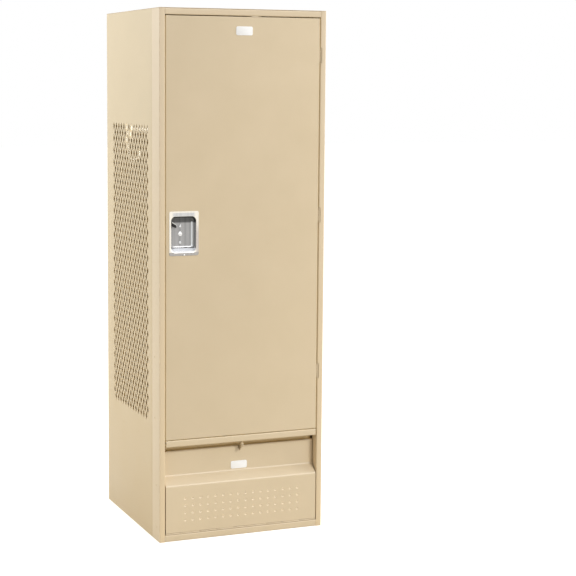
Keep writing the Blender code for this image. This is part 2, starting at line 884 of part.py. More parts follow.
def handle_cup(door_axis):
    """The drawn cup: a flat rim, steep walls, a sloped floor to the recess and a flat back."""
    def ring(y, left, right, bottom, top, radius):
        outline = rounded_rectangle(left, right, bottom, top, radius, recess_steps)
        return [(x, y, z) for x, z in outline]

    deep = cup_front + recess_depth
    back_corner = recess_corner - recess_draft
    rings = [
        ring(cup_front, cup_left, cup_right, cup_bottom, cup_top, cup_corner),
        ring(cup_front, recess_left, recess_right, recess_bottom, recess_top, recess_corner),
        ring(cup_front + recess_lip, recess_left + recess_lip / 2, recess_right - recess_lip / 2,
             recess_bottom + recess_lip, recess_top - recess_lip / 2, recess_corner - recess_lip / 2),
        ring(deep, recess_left + recess_draft, recess_right - recess_draft,
             recess_bottom + recess_slope, recess_top - recess_draft, back_corner),
    ]
    cup = loft(rings)
    thicken(cup, cup_sheet)
    finish(cup, "handle_cup", stainless, door_axis)
    tongue_low = lift_middle() - lift_tongue_height / 2
    tongue_front = cup_front + lift_pad_setback - lift_tongue_depth / 2
    slot = box(
        (recess_left - cup_sheet - seat_gap, tongue_front - lift_slot_clearance,
         tongue_low - lift_slot_clearance),
        (recess_left + recess_draft + seat_gap, tongue_front + lift_tongue_depth + lift_slot_clearance,
         tongue_low + lift_tongue_height + latch_lift + lift_slot_clearance))
    combine(cup, as_cutter(slot, "handle_cup_lift_slot"))

    cover_y = deep - seat_gap - lock_cover_thickness / 2
    cover_x = (recess_left + recess_right) / 2 - lock_cover_left
    cover = round_bar((cover_x, cover_y, cup_middle_height - lock_cover_drop), lock_cover_radius,
                      lock_cover_thickness, "Y", 2 * hole_sides)
    finish(cover, "lock_hole_cover", zinc, door_axis)
    smooth(cover)


def lift_middle():
    """Height of the middle of the lift's pad."""
    return recess_top - lift_pad_drop - latch_lift - lift_pad_height / 2


def latch(latch_axis):
    """The lock bar with a mouth for each frame hook, and the lift that a finger raises."""
    low = hook_heights[0] - bar_overhang
    high = hook_heights[-1] + bar_overhang
    mouth_front = bar_front + bar_strip
    outline = [(bar_front, low), (bar_back, low)]
    for place in hook_heights:
        mouth_low = place - latch_lift - hook_running_gap
        mouth_high = place + hook_thickness + hook_nose + hook_bar_clearance
        outline += [(bar_back, mouth_low), (mouth_front, mouth_low),
                    (mouth_front, mouth_high), (bar_back, mouth_high)]
    outline += [(bar_back, high), (bar_front, high)]
    bar = flat_plate([outline], bar_thickness, "X", (bar_left + bar_right) / 2)
    finish(bar, "lock_bar", zinc, latch_axis)

    # The finger pad hangs in the recess and its tongue reaches back through the cup's wall
    middle = lift_middle()
    pad_left = recess_left + recess_draft + seat_gap
    pad_y = cup_front + lift_pad_setback
    pad_section = [
        (pad_y, middle + lift_pad_height / 2),
        (pad_y, middle - lift_pad_height / 2 + lift_pad_lip),
        (pad_y - lift_pad_lip, middle - lift_pad_height / 2),
    ]
    pad = folded_sheet(pad_section, lift_pad_width, lift_pad_thickness, "X", pad_left + lift_pad_width / 2, 1,
                       bend_radius)
    finish(pad, "lift_trigger", dark_steel, latch_axis)
    tongue = box((bar_right + seat_gap, pad_y - lift_tongue_depth / 2, middle - lift_tongue_height / 2),
                 (pad_left + lift_pad_width / 2, pad_y + lift_tongue_depth / 2,
                  middle + lift_tongue_height / 2))
    combine(pad, as_cutter(tongue, "lift_trigger_tongue"), "UNION")


def bar_guides(door_axis):
    """Two clips behind the door's sheet that the lock bar slides in."""
    foot_y = door_skin_back + seat_gap
    out_left = bar_left - seat_gap - panel_sheet
    out_right = bar_right + seat_gap + panel_sheet
    out_back = bar_back + seat_gap + panel_sheet
    plan = [(out_left, foot_y), (out_left, out_back), (out_right, out_back), (out_right, foot_y)]
    places = (("lower", hook_heights[0] + guide_offset), ("upper", hook_heights[-1] - guide_offset))
    for name, place in places:
        clip = folded_sheet(plan, guide_height, panel_sheet, "Z", place, -1, panel_sheet)
        finish(clip, name + "_bar_guide", zinc, door_axis)


def frame_hooks():
    """Hooks on the left jamb that stand in the lock bar's mouths."""
    root = -opening_half + seat_gap
    tip = root + hook_reach
    for place, name in zip(hook_heights, ("bottom", "middle", "top")):
        section = [
            (hook_front, place),
            (hook_front + hook_length, place),
            (hook_front + hook_length, place + hook_thickness),
            (hook_front + hook_thickness, place + hook_thickness),
            (hook_front + hook_thickness, place + hook_thickness + hook_nose),
            (hook_front, place + hook_thickness + hook_nose),
        ]
        hook = flat_plate([section], hook_reach, "X", (root + tip) / 2)
        finish(hook, name + "_frame_hook", zinc)


def door_stop():
    """A clip under the top rail that shows in the gap and turns down behind the door."""
    rail_bottom = under_top - top_rail_height
    section = [
        (front_y + door_setback, rail_bottom - seat_gap),
        (door_back + seat_gap + stop_sheet, rail_bottom - seat_gap),
        (door_back + seat_gap + stop_sheet, rail_bottom - stop_drop),
    ]
    clip = folded_sheet(section, stop_width, stop_sheet, "X", stop_middle, -1, stop_sheet)
    finish(clip, "door_stop", tan_paint)


# Drop-front
def drop_front(front_axis):
    """One formed sheet: perforated face, sloped ledge, recessed upper part and hemmed edge."""
    section = [
        (front_skin, front_low),
        (front_skin, ledge_bottom),
        (recess_plane, ledge_top),
        (recess_plane, front_top),
        (recess_plane + front_hem, front_top),
        (recess_plane + front_hem, front_top - front_hem_drop),
    ]
    sheet = folded_sheet(section, 2 * front_half, front_sheet, "X", 0, -1, front_bend)
    finish(sheet, "drop_front", tan_paint, front_axis)
    row_start = -hole_pitch_across * (hole_columns - 1) / 2
    holes = round_bar((row_start, front_skin, hole_lowest), hole_radius, 2 * recess_back, "Y", hole_sides)
    repeat(holes, hole_columns, (hole_pitch_across, 0, 0))
    repeat(holes, hole_rows, (0, 0, hole_pitch_up))
    combine(sheet, as_cutter(holes, "drop_front_holes"))

    # The top edge is notched so that it swings past the staple
    notch_half = lock_plate / 2 + staple_notch_room
    notch = box((-notch_half, recess_plane - overrun, front_top - staple_notch_drop),
                (notch_half, recess_plane + front_hem + overrun, front_top + overrun))
    combine(sheet, as_cutter(notch, "drop_front_staple_notch"))

    # The end gussets follow the back of the sheet
    face_back = front_skin_back + seat_gap
    recess_skin_back = recess_plane + front_sheet + seat_gap
    slope = (recess_plane - front_skin) / (ledge_top - ledge_bottom)
    slope_room = (front_sheet + seat_gap) * ((1 + slope * slope) ** 0.5 - slope)
    start = piano_axis.z + piano_leaf_width + seat_gap
    outline = [
        (face_back, start),
        (face_back + gusset_depth, start),
        (face_back + gusset_depth, ledge_bottom),
        (recess_skin_back + front_hem + gusset_depth / 2, ledge_top),
        (recess_skin_back + front_hem + gusset_depth / 2, front_top - front_hem_drop - seat_gap),
        (recess_skin_back, front_top - front_hem_drop - seat_gap),
        (recess_skin_back, ledge_top + slope_room / slope - front_bend),
        (face_back, ledge_bottom + slope_room / slope - front_bend),
    ]
    for name, side in (("left", -1), ("right", 1)):
        gusset = flat_plate([outline], front_sheet, "X", side * (front_half - front_sheet / 2))
        finish(gusset, "drop_front_" + name + "_gusset", tan_paint, front_axis)


def padlock_pair(front_axis):
    """The staple under the cross rail and the drop-front's eye beside it, their holes in line."""
    staple_front = front_y + staple_setback
    staple_back = staple_front + staple_depth
    staple_top = cross_rail_bottom - seat_gap
    staple_low = staple_top - staple_drop
    hole_y = (staple_front + staple_back) / 2
    hole_z = staple_low + lock_rim + shackle_hole
    outline = [
        (staple_front, staple_top),
        (staple_front, staple_low + lock_rim),
        (staple_front + lock_rim, staple_low),
        (staple_back - lock_rim, staple_low),
        (staple_back, staple_low + lock_rim),
        (staple_back, staple_top),
    ]
    hole = circle(hole_y, hole_z, shackle_hole, 2 * hole_sides)
    staple = flat_plate([outline, hole], lock_plate, "X", 0)
    finish(staple, "padlock_staple", tan_paint)

    foot = recess_plane - seat_gap
    eye_front = staple_front
    eye_top = hole_z + shackle_hole + lock_rim
    eye_outline = [
        (foot, front_top - eye_foot - front_bend),
        (foot, front_top - front_bend),
        (staple_back, eye_top),
        (eye_front + lock_rim, eye_top),
        (eye_front, eye_top - lock_rim),
        (eye_front, hole_z - shackle_hole),
        (eye_front + lock_rim, hole_z - shackle_hole - lock_rim),
        (staple_back, hole_z - shackle_hole - lock_rim),
    ]
    eye = flat_plate([eye_outline, hole], lock_plate, "X", lock_plate + eye_side_gap)
    finish(eye, "padlock_eye", tan_paint, front_axis)


def number_plate(name, front, middle_height, carrier):
    """A bare plate with rounded corners."""
    outline = rounded_rectangle(-plate_width / 2, plate_width / 2, middle_height - plate_height / 2,
                                middle_height + plate_height / 2, plate_corner, bend_steps)
    plate = flat_plate([outline], plate_thickness, "Y", front - seat_gap - plate_thickness / 2)
    finish(plate, name, white_plate, carrier)


door_axis = axis_empty("door_axis", hinge_axis)
latch_axis = axis_empty("latch_axis", (bar_left, bar_front, hook_heights[0]))
front_axis = axis_empty("drop_front_axis", piano_axis)
bpy.context.view_layer.update()

left_post, right_post = front_frame()
for side_name, side_sign in (("left", -1), ("right", 1)):
    side_panel(side_name + "_side_panel", side_sign)
    side_hook(side_name + "_side_hook", side_sign)
shell_panels()
coat_rod()
door_panel(door_axis)
door_stiffener(door_axis)
handle_cup(door_axis)
bar_guides(door_axis)
latch(latch_axis)
carry(latch_axis, door_axis)
frame_hooks()
door_stop()
for hinge_name, hinge_middle in zip(("bottom_hinge", "middle_hinge", "top_hinge"), hinge_heights):
    door_hinge(hinge_name, hinge_middle, door_axis)
    notch_post_for_hinge(right_post, hinge_name, hinge_middle)
drop_front(front_axis)
piano_hinge(front_axis)
padlock_pair(front_axis)
number_plate("upper_number_plate", door_front, upper_plate_middle, door_axis)
number_plate("lower_number_plate", recess_plane, ledge_top + front_bend + lower_plate_lift + plate_height / 2,
             front_axis)
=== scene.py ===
"""Gear locker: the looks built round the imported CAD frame.

Units are metres, +Z is up, the front faces -Y, and the origin is the middle of the base.
"""

from math import cos, pi, radians, sin

import bmesh
import bpy
from mathutils import Matrix, Vector


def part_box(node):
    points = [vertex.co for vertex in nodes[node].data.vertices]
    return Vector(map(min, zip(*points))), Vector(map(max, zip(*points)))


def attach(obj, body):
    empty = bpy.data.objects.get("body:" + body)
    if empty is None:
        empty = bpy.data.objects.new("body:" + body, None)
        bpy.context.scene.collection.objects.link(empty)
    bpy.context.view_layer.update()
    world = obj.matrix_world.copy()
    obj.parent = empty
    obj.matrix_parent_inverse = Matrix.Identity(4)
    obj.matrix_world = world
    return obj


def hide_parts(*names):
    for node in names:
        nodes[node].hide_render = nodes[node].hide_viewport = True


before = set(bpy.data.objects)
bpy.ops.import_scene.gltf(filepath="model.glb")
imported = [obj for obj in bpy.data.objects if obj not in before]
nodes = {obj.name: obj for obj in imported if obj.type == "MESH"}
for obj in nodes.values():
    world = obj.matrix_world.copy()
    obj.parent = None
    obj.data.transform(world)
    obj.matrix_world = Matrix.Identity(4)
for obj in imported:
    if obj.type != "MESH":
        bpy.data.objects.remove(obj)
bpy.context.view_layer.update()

# Camera fitted to the photograph's vertical and receding edges
photo_size = 576
sensor_width = 36
focal_pixels = 1546
centre_across = 244.8
centre_down = 250.2
camera_place = Vector((-1.957, -5.233, 1.588))
camera_yaw = radians(21.71)
camera_pitch = radians(-6.27)
camera_roll = radians(0.31)

# Sizes of the locker, as the CAD has them, but for the cross rail's lower edge and the diamonds' own
# size, which follow the photograph
width = 0.6096
depth = 0.6096
height = 1.8288
half_width = width / 2
front_y = -depth / 2
back_y = depth / 2
frame_wall = 0.0015
panel_wall = 0.0012
door_wall = 0.0019
seat_gap = 0.0003
bend = 0.002
rail_bend = 0.0035
ledge_bend = 0.0045
thin_edge = 0.0002
plate_edge = 0.0005
close = 0.00002
overrun = 0.003

post_face = 0.0198
opening_half = half_width - post_face
jamb_back = front_y + 0.04
post_leg_end = front_y + 0.08
barrel_right = 0.2903
barrel_back = -0.2983
barrel_room = 0.0006
hook_room = 0.001
under_top = height - frame_wall - seat_gap
top_rail_height = 0.0215
bottom_rail_height = 0.0235
cross_rail_top = 0.355
cross_rail_bottom = 0.3325
cross_rail_half = opening_half - 0.0045
rail_lip = 0.016
rail_depth = 0.04

seam_y = post_leg_end + 0.001
lap = 0.02
joggle = 0.003
back_flange = 0.025
diamond_wide = 0.0175
diamond_tall = 0.0318
pitch_along = 0.03016
pitch_up = 0.04445
diamond_columns = 14
diamond_rows = 23
first_column = -0.1748
first_row = 0.4195

door_low, door_high = (Vector(corner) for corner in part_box("door_panel"))
cup_low, cup_high = (Vector(corner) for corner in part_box("handle_cup"))
recess_left = cup_low.x + 0.007
recess_right = cup_high.x - 0.0088
recess_bottom = cup_low.z + 0.0135
recess_top = cup_high.z - 0.018
recess_corner = 0.015
recess_depth = 0.0185
recess_draft = 0.0035
recess_slope = 0.0175
cup_wall = 0.0008
cup_corner = 0.006
cup_lip = 0.003
cup_fillet = 0.0055
rim_trim = 0.003

# Places of the painted highlights and shades on the cup and the button, and of the cup's seam, read off the
# photograph
rim_grey_low = recess_top - 0.001
rim_grey_high = cup_high.z - 0.0055
rim_grey_side = 0.006
inside_near = cup_low.y + 0.0006
inside_far = cup_low.y + 0.004
back_near = cup_low.y + 0.009
back_far = cup_low.y + 0.012
foot_fade = 0.0016
highlight_left = -0.1852
highlight_right = -0.1802
highlight_foot = 1.024
shadow_low = recess_top - 0.0245
shadow_high = recess_top - 0.0195
slope_low = 1.0185
slope_high = 1.0205
seam_low = 1.0189
seam_high = 1.0214
right_grey_low = 1.07
right_grey_high = 1.115
button_highlight_low = 1.0672
button_highlight_high = 1.077


# Small wrappers round Blender's operators
def leave_edit():
    """Back to object mode with nothing selected."""
    active = bpy.context.view_layer.objects.active
    if active is not None and active.mode != "OBJECT":
        bpy.ops.object.mode_set(mode="OBJECT")
    bpy.ops.object.select_all(action="DESELECT")


def activate(piece):
    """Select one piece alone and make it active."""
    leave_edit()
    piece.select_set(True)
    bpy.context.view_layer.objects.active = piece


def settle(piece):
    """Apply a piece's place, turn and scale to its mesh."""
    activate(piece)
    bpy.ops.object.transform_apply(location=True, rotation=True, scale=True)


def named(piece, name):
    """Name an object and its mesh."""
    piece.name = name
    piece.data.name = name
    return piece


def add_block(name, low, high):
    """A block between two corners."""
    leave_edit()
    low = Vector(low)
    high = Vector(high)
    bpy.ops.mesh.primitive_cube_add(size=1, location=(low + high) / 2, scale=high - low)
    piece = named(bpy.context.object, name)
    settle(piece)
    return piece


def add_rod(name, middle, radius, length, along, sides=32):
    """A round bar whose axis lies along X, Y or Z."""
    turns = {"X": (0, pi / 2, 0), "Y": (pi / 2, 0, 0), "Z": (0, 0, 0)}
    leave_edit()
    bpy.ops.mesh.primitive_cylinder_add(vertices=sides, radius=radius, depth=length, location=middle,
                                        rotation=turns[along])
    piece = named(bpy.context.object, name)
    settle(piece)
    return piece


def pick(piece, kind, test):
    """Select in edit mode the verts, edges or faces that pass a test."""
    if piece.mode != "EDIT":
        activate(piece)
        bpy.ops.object.mode_set(mode="EDIT")
    bpy.ops.mesh.select_mode(type=kind)
    bpy.ops.mesh.select_all(action="DESELECT")
    shape = bmesh.from_edit_mesh(piece.data)
    shape.normal_update()
    chosen = 0
    for item in {"VERT": shape.verts, "EDGE": shape.edges, "FACE": shape.faces}[kind]:
        if test(item):
            item.select_set(True)
            chosen += 1
    shape.select_flush_mode()
    bmesh.update_edit_mesh(piece.data)
    return chosen


def extrude(offset):
    """Extrude what is selected by an offset."""
    bpy.ops.mesh.extrude_region_move(TRANSFORM_OT_translate={"value": offset})


def apply_modifier(piece, kind, **settings):
    """Add a modifier and apply it."""
    activate(piece)
    modifier = piece.modifiers.new(kind.title(), kind)
    for setting, value in settings.items():
        setattr(modifier, setting, value)
    bpy.ops.object.modifier_apply(modifier=modifier.name)


def round_edges(piece, radius, steps=4, over=25):
    """Round every edge sharper than an angle."""
    apply_modifier(piece, "BEVEL", width=radius, segments=steps, limit_method="ANGLE",
                   angle_limit=radians(over))


def give_wall(piece, wall):
    """Give an open sheet its wall, behind its faces."""
    apply_modifier(piece, "SOLIDIFY", thickness=wall, offset=-1, use_even_offset=True)


def cut(piece, tool, operation="DIFFERENCE"):
    """Cut a tool out of a piece, or join it on, and drop the tool."""
    apply_modifier(piece, "BOOLEAN", object=tool, operation=operation, solver="EXACT")
    bpy.data.objects.remove(tool, do_unlink=True)


def row(piece, count, offset):
    """Repeat a mesh along an offset."""
    apply_modifier(piece, "ARRAY", count=count, use_relative_offset=False, use_constant_offset=True,
                   constant_offset_displace=offset)


def smooth(piece, angle=30):
    """Shade round faces smooth and leave the folds crisp."""
    activate(piece)
    bpy.ops.object.shade_smooth_by_angle(angle=radians(angle))


def mirror_copy(piece, name):
    """The same piece on the other side, with its own mesh turned right way out."""
    other = piece.copy()
    other.data = piece.data.copy()
    bpy.context.scene.collection.objects.link(other)
    named(other, name)
    other.scale = (-1, 1, 1)
    settle(other)
    bpy.ops.object.mode_set(mode="EDIT")
    bpy.ops.mesh.select_all(action="SELECT")
    bpy.ops.mesh.remove_doubles(threshold=close)
    bpy.ops.mesh.normals_make_consistent(inside=False)
    bpy.ops.object.mode_set(mode="OBJECT")
    return other


def folded(name, outline, run, low, high, wall, radius, out, steps=5):
    """Sheet steel folded along an outline: its first leg is a plane, and each next leg is extruded.

    Outline points are (y, z) for a run along X and (x, y) for a run along Z. out is where the first
    leg's outer face looks.
    """
    def place(point, along):
        if run == "X":
            return Vector((along, point[0], point[1]))
        return Vector((point[0], point[1], along))

    middle = (low + high) / 2
    start = place(outline[0], middle)
    end = place(outline[1], middle)
    travel = (end - start).normalized()
    across = (place(outline[0], high) - place(outline[0], low)).normalized()
    turn = Matrix((travel, across, travel.cross(across))).transposed().to_euler()
    leave_edit()
    bpy.ops.mesh.primitive_plane_add(size=1, location=(start + end) / 2, rotation=turn)
    piece = named(bpy.context.object, name)
    piece.scale = ((end - start).length, high - low, 1)
    settle(piece)

    def on_fold(edge, point):
        for vert in edge.verts:
            gap = vert.co - place(point, middle)
            if run == "X":
                gap.x = 0
            else:
                gap.z = 0
            if gap.length > close:
                return False
        return True

    for point, after in zip(outline[1:], outline[2:]):
        pick(piece, "EDGE", lambda edge: on_fold(edge, point))
        extrude(place(after, middle) - place(point, middle))
    if piece.mode != "EDIT":
        activate(piece)
        bpy.ops.object.mode_set(mode="EDIT")
    bpy.ops.mesh.select_all(action="SELECT")
    bpy.ops.mesh.normals_make_consistent(inside=False)
    shape = bmesh.from_edit_mesh(piece.data)
    first = min(shape.faces, key=lambda face: (face.calc_center_median() - (start + end) / 2).length)
    if first.normal.dot(Vector(out)) < 0:
        bpy.ops.mesh.flip_normals()
    leave_edit()
    round_edges(piece, radius, steps)
    give_wall(piece, wall)
    return piece


# Shader maths
class Wire:
    """A socket of a finish, with arithmetic that adds Math nodes."""

    def __init__(self, finish, socket):
        self.finish = finish
        self.socket = socket

    def __add__(self, other):
        return self.finish.maths("ADD", self, other)

    def __radd__(self, other):
        return self.finish.maths("ADD", other, self)

    def __sub__(self, other):
        return self.finish.maths("SUBTRACT", self, other)

    def __rsub__(self, other):
        return self.finish.maths("SUBTRACT", other, self)

    def __mul__(self, other):
        return self.finish.maths("MULTIPLY", self, other)

    def __rmul__(self, other):
        return self.finish.maths("MULTIPLY", other, self)


class Finish:
    """The nodes of one material or of the world."""

    def __init__(self, name, owner=None):
        self.owner = owner or bpy.data.materials.new(name)
        self.owner.use_nodes = True
        self.tree = self.owner.node_tree

    def node(self, kind, settings, values, output=0):
        """Add a node: its settings first, then the values or links of its sockets."""
        made = self.tree.nodes.new(kind)
        for setting, value in settings.items():
            if setting == "stops":
                for stop, (place, colour) in zip(made.color_ramp.elements, value):
                    stop.position = place
                    stop.color = (*colour, 1)
            else:
                setattr(made, setting, value)
        for socket, value in values.items():
            self.feed(made.inputs[socket], value)
        return Wire(self, made.outputs[output])

    def feed(self, socket, value):
        """Link a wire to a socket, or set its value."""
        if isinstance(value, Wire):
            self.tree.links.new(value.socket, socket)
        else:
            socket.default_value = value

    def maths(self, operation, first, second):
        """One Math node."""
        return self.node("ShaderNodeMath", {"operation": operation}, {0: first, 1: second})

    def limits(self, value, low, high, to_low, to_high):
        """Map a value from one range to another, held at its ends."""
        return self.node("ShaderNodeMapRange", {"clamp": True},
                         {0: value, 1: low, 2: high, 3: to_low, 4: to_high})

    def blend(self, factor, first, second):
        """Mix two colours."""
        return self.node("ShaderNodeMix", {"data_type": "RGBA"}, {0: factor, 6: first, 7: second}, 2)

    def place(self, stretch=(1, 1, 1)):
        """Object coordinates, stretched."""
        spot = self.node("ShaderNodeTexCoord", {}, {}, "Object")
        return self.node("ShaderNodeMapping", {}, {"Vector": spot, "Scale": stretch})

    def axis(self, name):
        """One object coordinate: X, Y or Z."""
        return self.node("ShaderNodeSeparateXYZ", {}, {0: self.place()}, name)

    def band(self, value, low, high, soft):
        """1 between two places, with soft edges."""
        return (self.limits(value, low - soft, low + soft, 0.0, 1.0)
                * self.limits(value, high - soft, high + soft, 1.0, 0.0))

    def noise(self, scale, detail=2, roughness=0.5, stretch=(1, 1, 1)):
        """Noise in object coordinates."""
        return self.node("ShaderNodeTexNoise", {}, {"Vector": self.place(stretch), "Scale": scale,
                                                    "Detail": detail, "Roughness": roughness})

    def surface(self, values):
        """Set the Principled shader's sockets."""
        shader = self.tree.nodes["Principled BSDF"]
        for socket, value in values.items():
            self.feed(shader.inputs[socket], value)
        return self.owner

    def relief(self, height_metres):
        """A bump whose height is in metres."""
        return self.node("ShaderNodeBump", {}, {"Strength": 1, "Distance": 1, "Height": height_metres})


def from_screen(red, green, blue):
    """A colour written as on screen, from 0 to 255, as linear light."""
    channels = []
    for channel in (red, green, blue):
        share = channel / 255
        channels.append(share / 12.92 if share <= 0.04045 else ((share + 0.055) / 1.055) ** 2.4)
    return (*channels, 1)


floor_fade = 1.5
fold_low = 0.341
fold_high = 0.345


def tan_powder_coat(name, light, deep, floor_painted_shade=None, gap_painted_light=None):
    """Baked tan powder coat: fine orange peel, wavy sheet and a faint drift.

    The colour for the floor is a painted shade, darker and deeper towards the floor; the colour for the gap
    is a paler tan painted as light on the folds inside the door's gap.
    """
    finish = Finish(name)
    peel = finish.noise(430, 2, 0.5)
    wave = finish.noise(2.6, 1, 0.4)
    drift = finish.noise(7, 3, 0.55)
    fleck = finish.noise(900, 1, 0.5)
    shade = finish.limits(drift * 0.6 + fleck * 0.4, 0.35, 0.65, 0.0, 1.0)
    colour = finish.blend(shade, from_screen(*deep), from_screen(*light))
    if floor_painted_shade:
        # Painted shade: darker and deeper towards the floor
        colour = finish.blend(finish.limits(finish.axis("Z"), 0.0, floor_fade, 1.0, 0.0), colour,
                              from_screen(*floor_painted_shade))
    # Painted light: paler on the folds inside the door's gap
    if gap_painted_light:
        off_middle = finish.maths("ABSOLUTE", finish.axis("X"), 0)
        folds = (finish.band(finish.axis("Y"), front_y + 0.0035, jamb_back + 0.002, 0.001)
                 * finish.limits(off_middle, opening_half + 0.0005, opening_half + 0.001, 1.0, 0.0)
                 * finish.limits(finish.axis("Z"), fold_low, fold_high, 0.0, 1.0))
        colour = finish.blend(folds, colour, from_screen(*gap_painted_light))
    return finish.surface({
        "Base Color": colour,
        "Roughness": finish.limits(peel * 0.5 + drift * 0.5, 0.3, 0.7, 0.36, 0.46),
        "Specular IOR Level": 0.7,
        "Normal": finish.relief(peel * 0.00003 + wave * 0.0011),
    })


def brushed_stainless():
    """Drawn stainless with an upright brush, faint broad streaks and a seam, with light and shade painted on
    the cup's rim and recess.
    """
    finish = Finish("brushed_stainless")
    lines = finish.noise(60, 3, 0.6, (22, 22, 0.35))
    streak = finish.noise(60, 1, 0.5, (2.4, 2.4, 0.05))
    shade = finish.limits(streak * 0.6 + lines * 0.4, 0.32, 0.68, 0.0, 1.0)
    across = finish.axis("X")
    depth_in = finish.axis("Y")
    level = finish.axis("Z")

    # The rim: a painted highlight over most of it, its plain grey over the mouth, darker low down its right
    # side, and painted shade along its foot
    rim_highlight = finish.blend(shade, from_screen(222, 217, 207), from_screen(231, 226, 217))
    rim_grey = finish.blend(shade, from_screen(186, 186, 187), from_screen(202, 202, 203))
    right_grey = finish.blend(shade, from_screen(186, 179, 174), from_screen(198, 191, 186))
    foot_shade = finish.blend(shade, from_screen(156, 153, 149), from_screen(170, 167, 164))
    over_mouth = (finish.band(level, rim_grey_low, rim_grey_high, 0.001)
                  * finish.band(across, recess_left + rim_grey_side, recess_right - rim_grey_side, 0.004))
    rim = finish.blend(over_mouth, rim_highlight, rim_grey)
    # Darker grey low down the rim's right side
    right_foot = (finish.limits(across, recess_right - 0.0005, recess_right + 0.001, 0.0, 1.0)
                  * finish.limits(level, right_grey_low, right_grey_high, 1.0, 0.0))
    rim = finish.blend(right_foot, rim, right_grey)

    # The recess: painted darker than the rim as its shade, a painted shadow under the lip, a painted
    # highlight up its right-hand corner, lighter on its upward slope, a seam at its foot
    # Painted shade: the recess's back and walls are darker than the rim
    shaded_back = finish.blend(shade, from_screen(138, 138, 138), from_screen(166, 165, 165))
    walls = finish.blend(shade, from_screen(156, 156, 157), from_screen(184, 184, 185))
    # Painted shadow under the lip
    lip_shadow = finish.blend(shade, from_screen(76, 76, 75), from_screen(94, 93, 93))
    # Painted highlight up the recess's right-hand corner
    wear_and_highlight = finish.blend(shade, from_screen(196, 200, 203), from_screen(212, 215, 217))
    # Painted light: the upward slope is lighter than the recess's back
    pressed = finish.blend(shade, from_screen(200, 202, 206), from_screen(212, 214, 218))
    seam = finish.blend(shade, from_screen(50, 50, 50), from_screen(66, 65, 65))
    at_back = finish.limits(depth_in, back_near, back_far, 0.0, 1.0)
    under_lip = finish.limits(level, shadow_low, shadow_high, 0.0, 1.0)
    recess = finish.blend(under_lip, finish.blend(at_back, walls, shaded_back), lip_shadow)
    right_line = (at_back * finish.band(across, highlight_left, highlight_right, 0.0008)
                  * finish.band(level, highlight_foot, recess_top - 0.02, 0.002))
    recess = finish.blend(right_line, recess, wear_and_highlight)
    slope = finish.limits(level, slope_low, slope_high, 1.0, 0.0)
    recess = finish.blend(slope, recess, pressed)
    recess = finish.blend(at_back * finish.band(level, seam_low, seam_high, 0.0005), recess, seam)
    inside = finish.limits(depth_in, inside_near, inside_far, 0.0, 1.0)
    whole = finish.blend(inside, rim, recess)
    # Painted shade: the rim is darker along its foot, standing in for a darker reflection there
    at_foot = finish.limits(level, recess_bottom, recess_bottom + foot_fade, 1.0, 0.0)
    return finish.surface({
        "Base Color": finish.blend(at_foot, whole, foot_shade),
        "Metallic": 1,
        "Roughness": finish.limits(lines, 0.3, 0.7, 0.34, 0.5),
        "Normal": finish.relief(lines * 0.00001),
    })


def bright_zinc():
    """Zinc-plated steel with a soft spangle."""
    finish = Finish("bright_zinc")
    spangle = finish.noise(160, 3, 0.6)
    grain = finish.noise(900, 2, 0.5)
    pale = from_screen(214, 214, 208)
    grey = from_screen(184, 185, 182)
    return finish.surface({
        "Base Color": finish.blend(finish.limits(spangle, 0.35, 0.65, 0.0, 1.0), grey, pale),
        "Metallic": 1,
        "Roughness": finish.limits(spangle * 0.5 + grain * 0.5, 0.3, 0.7, 0.3, 0.46),
        "Normal": finish.relief(grain * 0.00001),
    })


def plated_steel():
    """Bright nickel-plated coat rod, sockets and hooks, a little milky."""
    finish = Finish("plated_steel")
    cloud = finish.noise(70, 3, 0.55)
    grain = finish.noise(1100, 2, 0.5)
    return finish.surface({
        "Base Color": finish.blend(finish.limits(cloud, 0.35, 0.65, 0.0, 1.0), from_screen(240, 236, 224),
                                   from_screen(252, 249, 240)),
        "Metallic": 0.35,
        "Roughness": finish.limits(grain, 0.3, 0.7, 0.2, 0.3),
        "Normal": finish.relief(grain * 0.000004),
    })


def polished_steel():
    """Bright button and screw heads, finely turned, with a painted highlight on the button's upper half."""
    finish = Finish("polished_steel")
    turned = finish.noise(900, 2, 0.5)
    cloud = finish.noise(90, 2, 0.5)
    # Painted highlight: the button's upper half is near white
    button_highlight = finish.band(finish.axis("Z"), button_highlight_low, button_highlight_high, 0.001)
    grey = finish.blend(finish.limits(cloud, 0.35, 0.65, 0.0, 1.0), from_screen(206, 207, 208),
                        from_screen(218, 219, 220))
    return finish.surface({
        "Base Color": finish.blend(button_highlight, grey, from_screen(248, 248, 247)),
        "Metallic": 1,
        "Roughness": finish.limits(turned, 0.3, 0.7, 0.2, 0.3),
        "Normal": finish.relief(turned * 0.000003),
    })


def highlight_tan_coat():
    """A paler tan painted as a highlight, for the small vents' rims and the door stop's pad."""
    finish = Finish("highlight_tan_coat")
    peel = finish.noise(430, 2, 0.5)
    fleck = finish.noise(900, 1, 0.5)
    return finish.surface({
        "Base Color": finish.blend(finish.limits(fleck, 0.35, 0.65, 0.0, 1.0), from_screen(236, 217, 186),
                                   from_screen(243, 226, 196)),
        "Roughness": finish.limits(peel, 0.3, 0.7, 0.3, 0.38),
        "Specular IOR Level": 0.7,
        "Normal": finish.relief(peel * 0.00002),
    })


def blackened_steel():
    """The lift's dark finish, a little rubbed."""
    finish = Finish("blackened_steel")
    rub = finish.noise(140, 3, 0.6)
    grain = finish.noise(1200, 2, 0.5)
    dark = from_screen(22, 21, 20)
    wear_and_highlight = from_screen(46, 44, 43)
    return finish.surface({
        "Base Color": finish.blend(finish.limits(rub, 0.5, 0.75, 0.0, 1.0), dark, wear_and_highlight),
        "Metallic": 0.5,
        "Roughness": finish.limits(rub, 0.3, 0.7, 0.3, 0.45),
        "Normal": finish.relief(grain * 0.000008),
    })


